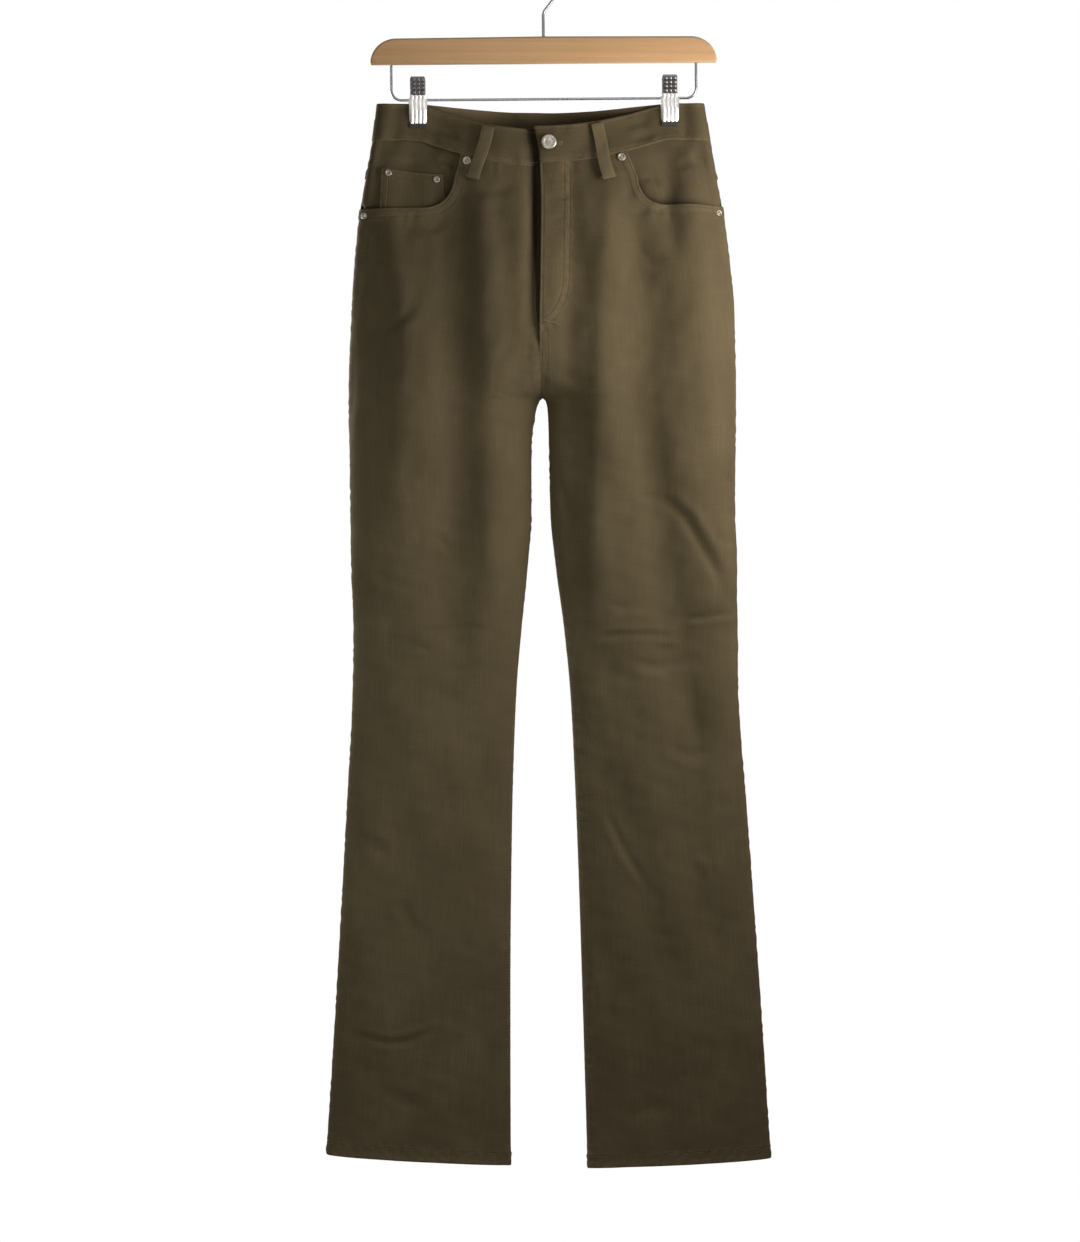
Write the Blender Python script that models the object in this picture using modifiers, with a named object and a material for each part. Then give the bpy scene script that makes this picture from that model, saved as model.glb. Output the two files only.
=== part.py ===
"""Five-pocket bootcut jeans hung from a wooden clip hanger.

The origin is the point where the hook rests on its rail, +Z is up and the front of the jeans faces -Y.
The wearer's right leg is on the -X side. Tables and named sizes are in millimetres.

Every cloth piece lies on one hanging surface. A section of that surface at some drop below the waist is an
ellipse for each leg, which opens above the crotch into the wide oval of the hips and closes again into the flat,
clipped waist. The folds are pressed into the same surface, so a pocket, loop or rivet is placed on it by its
distance from the centre line and its drop.
"""

import math
from collections import namedtuple

import bmesh
import bpy
import numpy as np
from mathutils import Matrix, Vector

MM = 0.001
GAP = 0.3  # between pieces that lie on each other
SEAM = 0.5  # between the edges of pieces that are sewn together

RIGHT, LEFT = -1, 1  # the wearer's sides
FRONT, BACK = -1, 1

# ---------------------------------------------------------------------------------------------- hanger sizes
HOOK_WIRE = 3.2
HOOK_RADIUS = 20.0  # centre line of the bow
BAR_TOP = 77.0  # below the rail
BAR_HEIGHT = 29.5
BAR_LENGTH = 374.0
BAR_DEPTH = 12.0
BAR_END_ROUND = 28.0
BAR_EDGE_ROUND = 2.5
HOOK_NECK = 26.0  # straight wire above the bar
HOOK_SINK = 16.0  # wire inside the bar
ROD_WIRE = 2.8
ROD_HALF_SPAN = 164.5
ROD_DROP = 144.6  # centre line of the bottom run, below the rail
ROD_CORNER = 11.0
ROD_SINK = 12.0
CLIP_X = 136.0
CLIP_JAW_WIDTH = 18.6
CLIP_TAB_WIDTH = 15.6
CLIP_PLATE = 1.0
CLIP_RIB = 0.55
PAD_WIDTH = 17.6
PAD_THICKNESS = 0.9
HANGER_TILT = math.radians(0.45)  # the hanger hangs a little high on the wearer's left

# --------------------------------------------------------------------------------------------- garment sizes
WAIST_DROP = 149.4  # from the rail down to the top of the side waistband
CLOTH = 1.6
BAND_CLOTH = 2.6
HEM_CLOTH = 3.0
BAND_HEIGHT = 38.0
HEM_HEIGHT = 13.0
CROTCH = 317.5
FLY_END = 246.0
SECTION_POWER = 0.9  # below 1 the section is fuller than an ellipse
HIP_FORMED = 190.0  # the drop at which the clipped waist has opened into the hips

# Drop is measured down from the top of the side waistband. The next columns are the outline's distances from the
# centre line, and the last two are how far the front and the back stand from the middle plane.
Section = namedtuple("Section", "drop right_out right_in left_in left_out front back")
SECTIONS = (
    Section(0, -179.0, 0, 0, 174.0, 44, 50),
    Section(38, -183.5, 0, 0, 180.0, 44, 50),
    Section(80, -191.0, 0, 0, 187.5, 46, 54),
    Section(147, -201.0, 0, 0, 199.0, 50, 61),
    Section(228, -206.5, 0, 0, 206.5, 53, 65.5),
    Section(CROTCH, -209.5, -GAP / 2, GAP / 2, 208.5, 54, 61.5),
    Section(321, -209.5, -4.0, 3.6, 208.5, 53.9, 61.1),
    Section(331, -209.5, -8.0, 6.0, 208.5, 53.7, 60.2),
    Section(374, -208.5, -13.0, 7.6, 208.0, 51.8, 56),
    Section(440, -207.5, -13.0, 8.8, 207.4, 47, 50),
    Section(503, -206.3, -17.3, 15.1, 207.4, 42, 44),
    Section(568, -204.2, -23.8, 23.8, 208.4, 36, 39),
    Section(633, -205.2, -29.0, 30.2, 210.6, 32, 35),
    Section(763, -211.7, -33.5, 36.7, 220.3, 27, 31),
    Section(957, -222.5, -35.6, 43.2, 234.4, 24, 28),
    Section(1150, -234.5, -35.0, 49.0, 247.0, 23, 27),
)

# How the flat waist is pinched: an ear outside each clip, a flat run in the clip, and an open mouth between.
EAR_DEPTH = 8.0
EAR_ROUND = 9.0
EAR_END, CLIP_START = 9.0, 25.0
MOUTH_START, MOUTH_RUN = 58.0, 94.0
MOUTH_DEPTH = {FRONT: 15.0, BACK: 22.0}
CLIPPED = BAND_CLOTH + GAP / 2
RELEASED = 9.5  # the same half thickness where the jaws have let the cloth go
JAW_END, RELEASE_END = 27.0, 60.0
LEAST_DEPTH = 6.4  # a fold never presses the cloth nearer to the middle plane

# The waistband's top edge sags between the clips: least drop, sag at the centre, half span.
Sag = namedtuple("Sag", "edge centre half_span")
BAND_SAG = {
    (FRONT, RIGHT): Sag(1.5, 28.0, 133.0),
    (FRONT, LEFT): Sag(1.0, 24.5, 133.0),
    (BACK, RIGHT): Sag(1.5, 8.5, 133.0),
    (BACK, LEFT): Sag(1.0, 9.0, 133.0),
}

# Hem drops at the outer and the inner side of each leg.
HEM = {RIGHT: (1133.0, 1145.0), LEFT: (1137.0, 1148.0)}

# Height above the crotch over which the centre seam comes forward, or back, to the full depth.
RISE = {FRONT: 140.0, BACK: 165.0}

# The free edge of the fly, and how deep the other front lies under it.
FlyRow = namedtuple("FlyRow", "drop edge dip")
FLY = (
    FlyRow(20, -10.0, 4.6),
    FlyRow(58, -3.0, 5.4),
    FlyRow(110, -1.6, 9.0),
    FlyRow(180, -2.2, 9.0),
    FlyRow(228, -3.0, 6.5),
    FlyRow(275, -3.2, 0.0),
    FlyRow(CROTCH, 0.0, 0.0),
)
FLY_LEAD = 24.0  # the dip starts this far before the edge
SHIELD_LAP = 30.0  # how far the shield reaches under the fly
BAND_LAP = 38.0
PLACKET_WIDTH = 33.0

# Folds pressed into the surface. Each runs through three points, given by drop and distance from the centre line,
# and a positive depth is a trough.
Fold = namedtuple("Fold", "face leg top x_top mid x_mid end x_end half_width depth")
FOLDS = (
    Fold(FRONT, RIGHT, 120, -112, 400, -94, 690, -99, 25, 13.0),
    Fold(FRONT, LEFT, 120, 97, 400, 119, 730, 158, 25, 14.0),
    Fold(FRONT, LEFT, 62, 26, 160, 31, 300, 29, 15, 5.0),
    Fold(FRONT, RIGHT, 40, -140, 80, -143, 190, -150, 14, 4.0),
    Fold(FRONT, LEFT, 40, 134, 80, 136, 185, 140, 13, 6.0),
    Fold(FRONT, RIGHT, 700, -160, 830, -148, 1000, -150, 24, 3.5),
    Fold(FRONT, LEFT, 720, 70, 850, 112, 1010, 128, 20, 3.5),
    Fold(FRONT, RIGHT, 940, -62, 1060, -60, 1142, -64, 15, 3.5),
    Fold(BACK, RIGHT, 250, -112, 440, -104, 700, -112, 28, 13.0),
    Fold(BACK, LEFT, 240, 108, 450, 112, 720, 134, 28, 12.0),
    Fold(BACK, RIGHT, 40, -140, 90, -142, 200, -152, 15, 5.0),
    Fold(BACK, LEFT, 40, 134, 90, 138, 200, 150, 15, 5.0),
    Fold(BACK, RIGHT, 720, -140, 900, -150, 1060, -160, 26, 4.0),
    Fold(BACK, LEFT, 760, 118, 930, 140, 1080, 166, 26, 4.0),
)

# Front pocket mouths: where the curved edge leaves the waistband, its lean, and its level at the side.
Scoop = namedtuple("Scoop", "top_x lean level corner")
SCOOPS = {RIGHT: Scoop(-88.0, 7.0, 114.5, 34.0), LEFT: Scoop(91.0, 11.0, 111.5, 30.0)}
FACING_MARGIN = 11.0
FACING_LIE = {RIGHT: CLOTH + 2 * GAP + 1.2, LEFT: CLOTH + GAP}
FACING_RISE = 10.0
POCKET_CLOTH = 1.2

# Corners of the watch pocket, as distance from the centre line and drop.
WATCH_POCKET = ((-174.0, 69.0), (-108.0, 77.0), (-105.0, 121.0), (-177.0, 121.0))

YOKE_SIDE, YOKE_CENTRE = 80.0, 118.0

# Back patch pockets, symmetrical about the centre back.
PATCH_TOP, PATCH_BOTTOM, PATCH_POINT = 142.0, 262.0, 16.0
PATCH_INNER, PATCH_OUTER, PATCH_TAPER, PATCH_TILT = 30.0, 156.0, 6.0, 5.0

LOOP_WIDTH = 12.0
LOOP_CLOTH = 1.5
LOOP_FOOT, LOOP_STAND = 1.0, 2.4
# Belt loops: the ends of each centre line, as distance from the centre line and drop.
Loop = namedtuple("Loop", "name face x_top top x_bottom bottom")
LOOPS = (
    Loop("belt_loop_front_right", FRONT, -58.0, 25.5, -74.0, 83.0),
    Loop("belt_loop_front_left", FRONT, 57.0, 22.5, 71.0, 83.0),
    Loop("belt_loop_back_right", BACK, -96.0, 8.0, -99.0, 67.0),
    Loop("belt_loop_back_left", BACK, 96.0, 8.0, 99.0, 67.0),
    Loop("belt_loop_centre_back", BACK, 0.0, 12.5, 0.0, 71.0),
)

BUTTON_DIAMETER = 16.6
BUTTON_AT = (6.5, 43.5)
RIVET_DIAMETER = 9.4
SMALL_RIVET_DIAMETER = 7.6
# Rivets: name, leg, distance from the centre line, drop, diameter, and how deep their cloth lies.
Rivet = namedtuple("Rivet", "name leg x drop diameter lie")
RIVETS = (
    Rivet("rivet_pocket_front_right", RIGHT, -82.0, 62.5, RIVET_DIAMETER, 0.0),
    Rivet("rivet_pocket_front_left", LEFT, 84.5, 59.0, RIVET_DIAMETER, 0.0),
    Rivet("rivet_pocket_side_right", RIGHT, -192.5, 122.0, SMALL_RIVET_DIAMETER, 0.0),
    Rivet("rivet_pocket_side_left", LEFT, 189.0, 119.0, SMALL_RIVET_DIAMETER, 0.0),
    Rivet("rivet_watch_outer", RIGHT, -166.5, 75.5, SMALL_RIVET_DIAMETER, CLOTH + GAP),
    Rivet("rivet_watch_inner", RIGHT, -114.5, 82.5, SMALL_RIVET_DIAMETER, CLOTH + GAP),
)

# Grid steps of the lofted panels.
RISE_ROWS = (0, 1.5, 5, 12, 24, 42, 66, 96, 128, 160, 190, 218, 242)  # heights above the crotch
LEG_ROW_STEP = 46.0
PANEL_COLUMNS = 12
EDGE_STRIP = 1.4
TURN_WEIGHT = 26.0  # columns crowd where the section turns: millimetres of width for each radian
COLUMN_SHIFT = 130.0  # height above the crotch at which the columns suit the hips instead of the legs

# -------------------------------------------------------------------------------------------------- materials
Finish = namedtuple("Finish", "colour roughness metallic")
FINISHES = {
    "olive_twill": Finish((0.098, 0.083, 0.050), 0.88, 0.0),
    "brushed_nickel": Finish((0.50, 0.47, 0.42), 0.38, 1.0),
    "chrome_wire": Finish((0.60, 0.60, 0.61), 0.22, 1.0),
    "clip_steel": Finish((0.62, 0.61, 0.60), 0.28, 1.0),
    "clip_rubber": Finish((0.03, 0.03, 0.03), 0.75, 0.0),
    "beech": Finish((0.56, 0.34, 0.17), 0.42, 0.0),
    "zip_brass": Finish((0.42, 0.33, 0.18), 0.40, 1.0),
}


def material(name):
    """The named finish as a Principled material, made once."""
    found = bpy.data.materials.get(name)
    if found:
        return found
    finish = FINISHES[name]
    made = bpy.data.materials.new(name)
    made.use_nodes = True
    shader = made.node_tree.nodes["Principled BSDF"]
    shader.inputs["Base Color"].default_value = (*finish.colour, 1.0)
    shader.inputs["Roughness"].default_value = finish.roughness
    shader.inputs["Metallic"].default_value = finish.metallic
    return made


# ------------------------------------------------------------------------------------------ the hanging surface
def ease(share):
    """Smooth step from 0 to 1."""
    t = np.clip(share, 0.0, 1.0)
    return t * t * (3.0 - 2.0 * t)


def through(stations, values, at):
    """A smooth curve through the values at the stations, which never overshoots them."""
    x, y = np.asarray(stations, float), np.asarray(values, float)
    step, rise = np.diff(x), np.diff(y)
    slope = rise / step
    same = slope[:-1] * slope[1:] > 0
    mean = 2 * slope[:-1] * slope[1:] / np.where(same, slope[:-1] + slope[1:], 1.0)
    tangent = np.concatenate([[slope[0]], np.where(same, mean, 0.0), [slope[-1]]])
    at = np.clip(at, x[0], x[-1])
    k = np.clip(np.searchsorted(x, at, side="right") - 1, 0, len(step) - 1)
    t = (at - x[k]) / step[k]
    return (
        y[k] * (1 + 2 * t) * (1 - t) ** 2
        + y[k + 1] * t * t * (3 - 2 * t)
        + step[k] * t * (1 - t) * (tangent[k] * (1 - t) - tangent[k + 1] * t)
    )


def column(table, name, drop):
    """One column of a table, read at any drop."""
    return through([row.drop for row in table], [getattr(row, name) for row in table], drop)


def outer_x(leg, drop):
    """The side seam's distance from the centre line."""
    return column(SECTIONS, "right_out" if leg == RIGHT else "left_out", drop)


def inner_x(face, leg, drop):
    """A panel's other edge: the inseam below the crotch, and the centre seam or the zip seam above it."""
    below = column(SECTIONS, "right_in" if leg == RIGHT else "left_in", drop)
    centre = column(FLY, "edge", drop) if face == FRONT else 0.0
    return np.where(drop < CROTCH, centre + leg * GAP / 2, below)


def merging(face, drop):
    """How far the two legs' ellipses have grown across the centre above the crotch: 0 none, 1 all the way."""
    return np.sin(math.pi / 2 * np.clip((CROTCH - drop) / RISE[face], 0.0, 1.0))


def section_end(face, drop):
    """The angle at which a section ends: half a turn on a leg, a quarter once the hips are formed."""
    return np.arccos(1.0 - 2.0 / (1.0 + merging(face, drop)))


def half_width(face, leg, drop):
    """Half the width of the ellipse that a section is a part of."""
    span = np.abs(outer_x(leg, drop) - inner_x(face, leg, drop))
    return span * (1.0 + merging(face, drop)) / 2.0


def waist_depth(face, from_side, drop):
    """How far the clipped waist stands from the middle plane, by the distance from the side."""
    held = CLIPPED + (RELEASED - CLIPPED) * ease((drop - JAW_END) / (RELEASE_END - JAW_END))
    rounded = np.sqrt(1.0 - (1.0 - np.clip(from_side / EAR_ROUND, 0.0, 1.0)) ** 2)
    ear = held + (EAR_DEPTH - held) * (1.0 - ease((from_side - EAR_END) / (CLIP_START - EAR_END)))
    mouth = (MOUTH_DEPTH[face] - held) * ease((from_side - MOUTH_START) / MOUTH_RUN)
    return rounded * ear + mouth


def fold_depth(face, leg, x, drop):
    """The folds' depth at a point. It fades out at both ends of each fold."""
    total = np.zeros(np.broadcast(x, drop).shape)
    for fold in FOLDS:
        if (fold.face, fold.leg) != (face, leg):
            continue
        centre = through((fold.top, fold.mid, fold.end), (fold.x_top, fold.x_mid, fold.x_end), drop)
        reach = (fold.end - fold.top) / 4
        fade = ease((drop - fold.top + reach / 2) / reach) * ease((fold.end - drop) / (reach * 1.4))
        total = total + fold.depth * fade * np.exp(-(((x - centre) / fold.half_width) ** 2))
    return total


def fly_dip(leg, x, drop):
    """How far the wearer's right front sinks to pass under the fly."""
    if leg == LEFT:
        return 0.0
    edge = column(FLY, "edge", drop)
    return column(FLY, "dip", drop) * ease((x - edge + FLY_LEAD) / (FLY_LEAD - 3.0))


def surface(face, leg, angle, drop, folded=True):
    """Points of the hanging surface in millimetres, at an angle round the section and a drop."""
    width = half_width(face, leg, drop)
    from_side = width * (1.0 - np.cos(angle))
    x = outer_x(leg, drop) - leg * from_side
    depth_name = "front" if face == FRONT else "back"
    hip = column(SECTIONS, depth_name, drop) * np.clip(np.sin(angle), 0.0, 1.0) ** SECTION_POWER
    formed = ease((drop - BAND_HEIGHT / 2) / (HIP_FORMED - BAND_HEIGHT / 2))
    waist = waist_depth(face, from_side, drop)
    depth = waist + (hip - waist) * formed
    if folded:
        calm = ease(np.clip(np.sin(angle), 0.0, 1.0) / 0.5)
        room = np.maximum(depth - LEAST_DEPTH, 0.0) + 1e-6
        pressed = fold_depth(face, leg, x, drop) * calm
        depth = depth - np.where(pressed > 0, room * (1.0 - np.exp(-np.maximum(pressed, 0) / room)), pressed)
        if face == FRONT:
            depth = depth - fly_dip(leg, x, drop)
    drop = np.broadcast_to(drop, x.shape)
    return np.stack([x, face * depth, -WAIST_DROP - drop], axis=-1)


def angle_at(face, leg, x, drop):
    """The angle round the section at a distance from the centre line."""
    share = np.abs(outer_x(leg, drop) - x) / half_width(face, leg, drop)
    return np.arccos(np.clip(1.0 - share, -1.0, 1.0))


def normals(face, leg, angle, drop):
    """Outward unit normals of the surface."""
    step_angle, step_drop = 0.004, 0.4
    across = surface(face, leg, angle + step_angle, drop) - surface(face, leg, angle - step_angle, drop)
    down = surface(face, leg, angle, drop + step_drop) - surface(face, leg, angle, drop - step_drop)
    out = np.cross(across, down) * -(face * leg)
    return out / np.linalg.norm(out, axis=-1, keepdims=True)


def laid(face, leg, x, drop, lift=0.0):
    """Points on the surface by distance from the centre line and drop, moved out by the lift."""
    x, drop = np.broadcast_arrays(np.asarray(x, float), np.asarray(drop, float))
    angle = angle_at(face, leg, x, drop)
    return surface(face, leg, angle, drop) + normals(face, leg, angle, drop) * np.asarray(lift, float)[..., None]


def band_top(face, leg, x):
    """The drop of the waistband's top edge."""
    sag = BAND_SAG[face, leg]
    return sag.edge + sag.centre * np.clip(1.0 - (x / sag.half_span) ** 2, 0.0, 1.0) ** 1.15


def band_seam(face, leg, x):
    """The drop of the seam under the waistband."""
    return band_top(face, leg, x) + BAND_HEIGHT


def yoke_seam(leg, x):
    """The drop of the seam between the yoke and the back leg."""
    share = np.clip(np.abs(x / outer_x(leg, YOKE_CENTRE)), 0.0, 1.0)
    return YOKE_CENTRE + (YOKE_SIDE - YOKE_CENTRE) * share


def hem_edge(leg, drop_x):
    """The drop of the hem, by distance from the centre line."""
    outer, inner = HEM[leg]
    share = np.abs(outer_x(leg, outer) - drop_x) / np.abs(outer_x(leg, outer) - inner_x(BACK, leg, outer))
    return outer + (inner - outer) * np.clip(share, 0.0, 1.0) ** 0.7


# ------------------------------------------------------------------------------------------------ mesh helpers
def add_object(name, mesh, finish, collection):
    """An object of that mesh, with its material, in the collection."""
    made = bpy.data.objects.new(name, mesh)
    mesh.materials.append(material(finish))
    collection.objects.link(made)
    return made


def mesh_from(name, build):
    """A mesh that the build function fills through bmesh."""
    mesh = bpy.data.meshes.new(name)
    shape = bmesh.new()
    build(shape)
    shape.to_mesh(mesh)
    shape.free()
    return mesh


def open_grid(name, points, outward):
    """An open sheet of triangles through rows of points in millimetres. Its middle triangle faces outward."""
    rows, columns = points.shape[:2]
    faces = []
    for r in range(rows - 1):
        for c in range(columns - 1):
            near, far = r * columns + c, (r + 1) * columns + c
            faces += [(near, near + 1, far + 1), (near, far + 1, far)]
    mesh = bpy.data.meshes.new(name)
    mesh.from_pydata((points.reshape(-1, 3) * MM).tolist(), [], faces)
    mesh.update()
    middle = mesh.polygons[len(faces) // 2].normal
    if middle.dot(Vector(outward)) < 0:
        mesh.flip_normals()
    mesh.shade_smooth()
    return mesh


def trimmed(face, leg, mesh, outline, lift):
    """Cuts a panel's sheet to a convex outline of (x, drop) and moves it out by lift, a function of the same."""
    shape = bmesh.new()
    shape.from_mesh(mesh)
    middle = np.mean(outline, axis=0)
    for start, end in zip(outline, [*outline[1:], outline[0]]):
        side = np.array([end[1] - start[1], start[0] - end[0]])
        side = side * np.sign(side @ (np.array(start) - middle)) / np.linalg.norm(side)
        geometry = [*shape.verts, *shape.edges, *shape.faces]
        origin = Vector((start[0], 0, -WAIST_DROP - start[1])) * MM
        direction = (side[0], 0, -side[1])
        bmesh.ops.bisect_plane(shape, geom=geometry, plane_co=origin, plane_no=direction, clear_outer=True)
    bmesh.ops.remove_doubles(shape, verts=shape.verts[:], dist=0.0001)
    for corner in shape.verts:
        x, drop = corner.co.x / MM, -corner.co.z / MM - WAIST_DROP
        angle = angle_at(face, leg, np.array(x), np.array(drop))
        corner.co += Vector(normals(face, leg, angle, np.array(drop))) * float(lift(x, drop)) * MM
    shape.to_mesh(mesh)
    shape.free()
    mesh.shade_smooth()
    return mesh


def thickened(made, thickness, out):
    """Gives a sheet its thickness, inwards unless out is set."""
    shell = made.modifiers.new("Thickness", "SOLIDIFY")
    shell.thickness = thickness * MM
    shell.offset = 1.0 if out else -1.0
    shell.use_even_offset = False
    return made


def cloth(name, points, outward, thickness, collection, finish="olive_twill", out=False):
    """A cloth piece: a lofted sheet given its thickness by Solidify, inwards unless out is set."""
    made = add_object(name, open_grid(name, points, outward), finish, collection)
    return thickened(made, thickness, out)


def section_columns(face, leg, drop, columns):
    """Columns of a section as shares of its width, from the side seam inwards, with a narrow strip at each edge."""
    end = float(section_end(face, drop))
    closed = end > 3.1
    angle = np.linspace(0.002, end - 0.002 * closed, 241)
    line = surface(face, leg, angle, np.full_like(angle, drop), folded=False)[:, :2]
    share = (1.0 - np.cos(angle)) / (1.0 - math.cos(end))
    step = np.diff(line, axis=0)
    length = np.concatenate([[0.0], np.cumsum(np.hypot(*step.T))])
    turn = np.abs(np.diff(np.unwrap(np.arctan2(step[:, 1], step[:, 0]))))
    crowding = length + TURN_WEIGHT * np.concatenate([[0.0, 0.0], np.cumsum(turn)])
    far = length[-1] - GAP / 2 * closed
    edges = np.array([GAP / 2, GAP / 2 + EDGE_STRIP, far - EDGE_STRIP, far])
    inside = np.interp(edges[1:3], length, crowding)
    middle = np.interp(np.linspace(*inside, columns - 1), crowding, share)
    outer = np.interp(edges, length, share)
    return np.concatenate([outer[:2], middle[1:-1], outer[2:]])


class Columns:
    """Where a panel's columns run. Above the crotch they leave the leg's columns only slowly."""

    def __init__(self, face, leg, columns=PANEL_COLUMNS):
        self.face = face
        rise = CROTCH - np.array(RISE_ROWS)
        self.drops = np.unique(np.concatenate([np.linspace(0, 280, 15), rise, np.linspace(322, 1160, 28)]))
        self.table = np.array([section_columns(face, leg, drop, columns) for drop in self.drops])
        crotch = section_columns(face, leg, CROTCH, columns)
        for row, drop in zip(self.table, self.drops):
            if drop < CROTCH:
                own = ease((CROTCH - drop) / COLUMN_SHIFT)
                row[2:-2] = crotch[2:-2] + (row[2:-2] - crotch[2:-2]) * own

    def read(self, drop):
        """The angles at a grid of drops, a column of the grid for each column of the panel."""
        shares = [np.interp(drop[:, c], self.drops, self.table[:, c]) for c in range(drop.shape[1])]
        return np.arccos(1.0 - 2.0 * np.stack(shares, axis=1) / (1.0 + merging(self.face, drop)))


def panel_points(face, leg, top_edge, rows, columns=PANEL_COLUMNS):
    """A grid of points whose rows follow the row functions of x and of the top edge's drop at x."""
    angles = Columns(face, leg, columns)
    drop = np.full((len(rows), columns + 1), 200.0)
    for _ in range(9):
        x = surface(face, leg, angles.read(drop), drop)[..., 0]
        drop = np.stack([row(x[r], top_edge(x[r])) for r, row in enumerate(rows)]) + np.zeros(x.shape)
    return surface(face, leg, angles.read(drop), drop)


def between(share_top, share_bottom, bottom):
    """A row that lies a share of the way from the top edge to a fixed drop."""
    return lambda x, top: top * share_top + bottom * share_bottom


def leg_rows(leg, top_level):
    """Row functions of a leg panel, from its top edge to the hem."""
    rise = [CROTCH - height for height in RISE_ROWS if CROTCH - height > top_level + 8]
    reach = CROTCH - top_level
    rows = [between((CROTCH - d) / reach, 1 - (CROTCH - d) / reach, CROTCH) for d in sorted(rise)]
    rows.insert(0, between(1.0, 0.0, 0.0))
    shares = np.linspace(0, 1, 1 + round((HEM[leg][0] - CROTCH) / LEG_ROW_STEP))[1:] ** 1.06
    turned = 1 - HEM_HEIGHT / (HEM[leg][0] - CROTCH)
    step = 1.2 / (HEM[leg][0] - CROTCH)
    shares = [0.004, 0.014, 0.03] + [s for s in shares if 0.03 < s < turned - 0.02]
    for share in [*shares, turned - step, turned, 1.0]:
        rows.append(lambda x, top, s=share: CROTCH + (hem_edge(leg, x) - CROTCH) * s)
    return rows


def thicken_hem(panel, rows, columns):
    """Gives the last two rows the doubled thickness of the turned hem."""
    group = panel.vertex_groups.new(name="turned hem")
    group.add(list(range((rows - 2) * columns, rows * columns)), 1.0, "ADD")
    shell = panel.modifiers["Thickness"]
    shell.thickness = HEM_CLOTH * MM
    shell.vertex_group = group.name
    shell.thickness_vertex_group = CLOTH / HEM_CLOTH


def cut(target, cutter):
    """Takes the cutter's shape out of the target."""
    modifier = target.modifiers.new(f"Cut {cutter.name}", "BOOLEAN")
    modifier.operation = "DIFFERENCE"
    modifier.object = cutter


def cutter_object(name, mesh, collection):
    """A cutter, drawn as wire and left out of renders."""
    made = bpy.data.objects.new(name, mesh)
    collection.objects.link(made)
    made.hide_render = True
    made.display_type = "WIRE"
    return made


def prism(name, outline, y_near, y_far):
    """A closed prism with an outline in the XZ plane, both in millimetres."""

    def build(shape):
        near = [shape.verts.new((x * MM, y_near * MM, z * MM)) for x, z in outline]
        face = shape.faces.new(near)
        grown = bmesh.ops.extrude_face_region(shape, geom=[face])["geom"]
        moved = [v for v in grown if isinstance(v, bmesh.types.BMVert)]
        bmesh.ops.translate(shape, verts=moved, vec=(0, (y_far - y_near) * MM, 0))
        bmesh.ops.recalc_face_normals(shape, faces=shape.faces[:])

    return mesh_from(name, build)


def arc(centre, radii, start, end, steps):
    """Points on an elliptical arc, angles in degrees."""
    turns = np.radians(np.linspace(start, end, steps + 1))
    return [(centre[0] + radii[0] * math.cos(t), centre[1] + radii[1] * math.sin(t)) for t in turns]


def turned(name, profile, finish, collection, steps):
    """A turned piece about its own Z axis, from a profile of (radius, height) that runs from top to bottom."""
    mesh = bpy.data.meshes.new(name)
    points = [(radius * MM, 0.0, height * MM) for radius, height in profile]
    edges = [(i, i + 1) for i in range(len(points) - 1)]
    if points[0] == points[-1]:
        points.pop()
        edges[-1] = (len(points) - 1, 0)
    mesh.from_pydata(points, edges, [])
    made = add_object(name, mesh, finish, collection)
    screw = made.modifiers.new("Turn", "SCREW")
    screw.steps = screw.render_steps = steps
    screw.use_merge_vertices = True
    screw.merge_threshold = 0.00001
    screw.use_smooth_shade = True
    return made


def wire(name, points, diameter, finish, collection, resolution=2):
    """A round wire along the points, in millimetres, with filled ends."""
    data = bpy.data.curves.new(name, "CURVE")
    data.dimensions = "3D"
    data.bevel_depth = diameter / 2 * MM
    data.bevel_resolution = resolution
    data.use_fill_caps = True
    spline = data.splines.new("POLY")
    spline.points.add(len(points) - 1)
    for target, point in zip(spline.points, points):
        target.co = (*(Vector(point) * MM), 1.0)
    data.materials.append(material(finish))
    made = bpy.data.objects.new(name, data)
    collection.objects.link(made)
    return made


def place(made, point, direction, turn=0.0):
    """Puts an object's own origin on the point, in millimetres, with its Z axis along the direction."""
    rotation = Vector(direction).to_track_quat("Z", "Y").to_matrix().to_4x4()
    made.matrix_world = Matrix.Translation(Vector(point) * MM) @ rotation @ Matrix.Rotation(turn, 4, "Z")


# ------------------------------------------------------------------------------------------------- the garment
def scoop_outline(leg):
    """The pocket mouth's outline in x and drop, closed past the side and above the waist."""
    scoop = SCOOPS[leg]
    side = leg * 260.0
    foot = scoop.top_x + leg * scoop.lean
    corner = (foot + leg * scoop.corner, scoop.level - scoop.corner)
    bend = arc(corner, (-leg * scoop.corner, scoop.corner), 0, 90, 7)
    lead = [(scoop.top_x - leg * 4.0, 10.0), (scoop.top_x, 54.0)]
    return [*lead, *bend, (side, scoop.level + 1.0), (side, 10.0)]


def make_fronts(parts, cutters):
    """The two front legs, each with its curved pocket mouth cut out. Gives their uncut points."""
    sheets = {}
    for leg, word in ((RIGHT, "right"), (LEFT, "left")):
        top = lambda x, leg=leg: band_seam(FRONT, leg, x) + SEAM
        rows = leg_rows(leg, 60.0)
        points = panel_points(FRONT, leg, top, rows)
        panel = cloth(f"front_{word}", points, (0, -1, 0), CLOTH, parts)
        thicken_hem(panel, len(rows), points.shape[1])
        outline = [(x, -WAIST_DROP - drop) for x, drop in scoop_outline(leg)]
        cutter = cutter_object(f"pocket mouth {word}", prism(f"mouth {word}", outline, -90.0, 14.0), cutters)
        cut(panel, cutter)
        sheets[leg] = points
    return sheets


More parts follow.
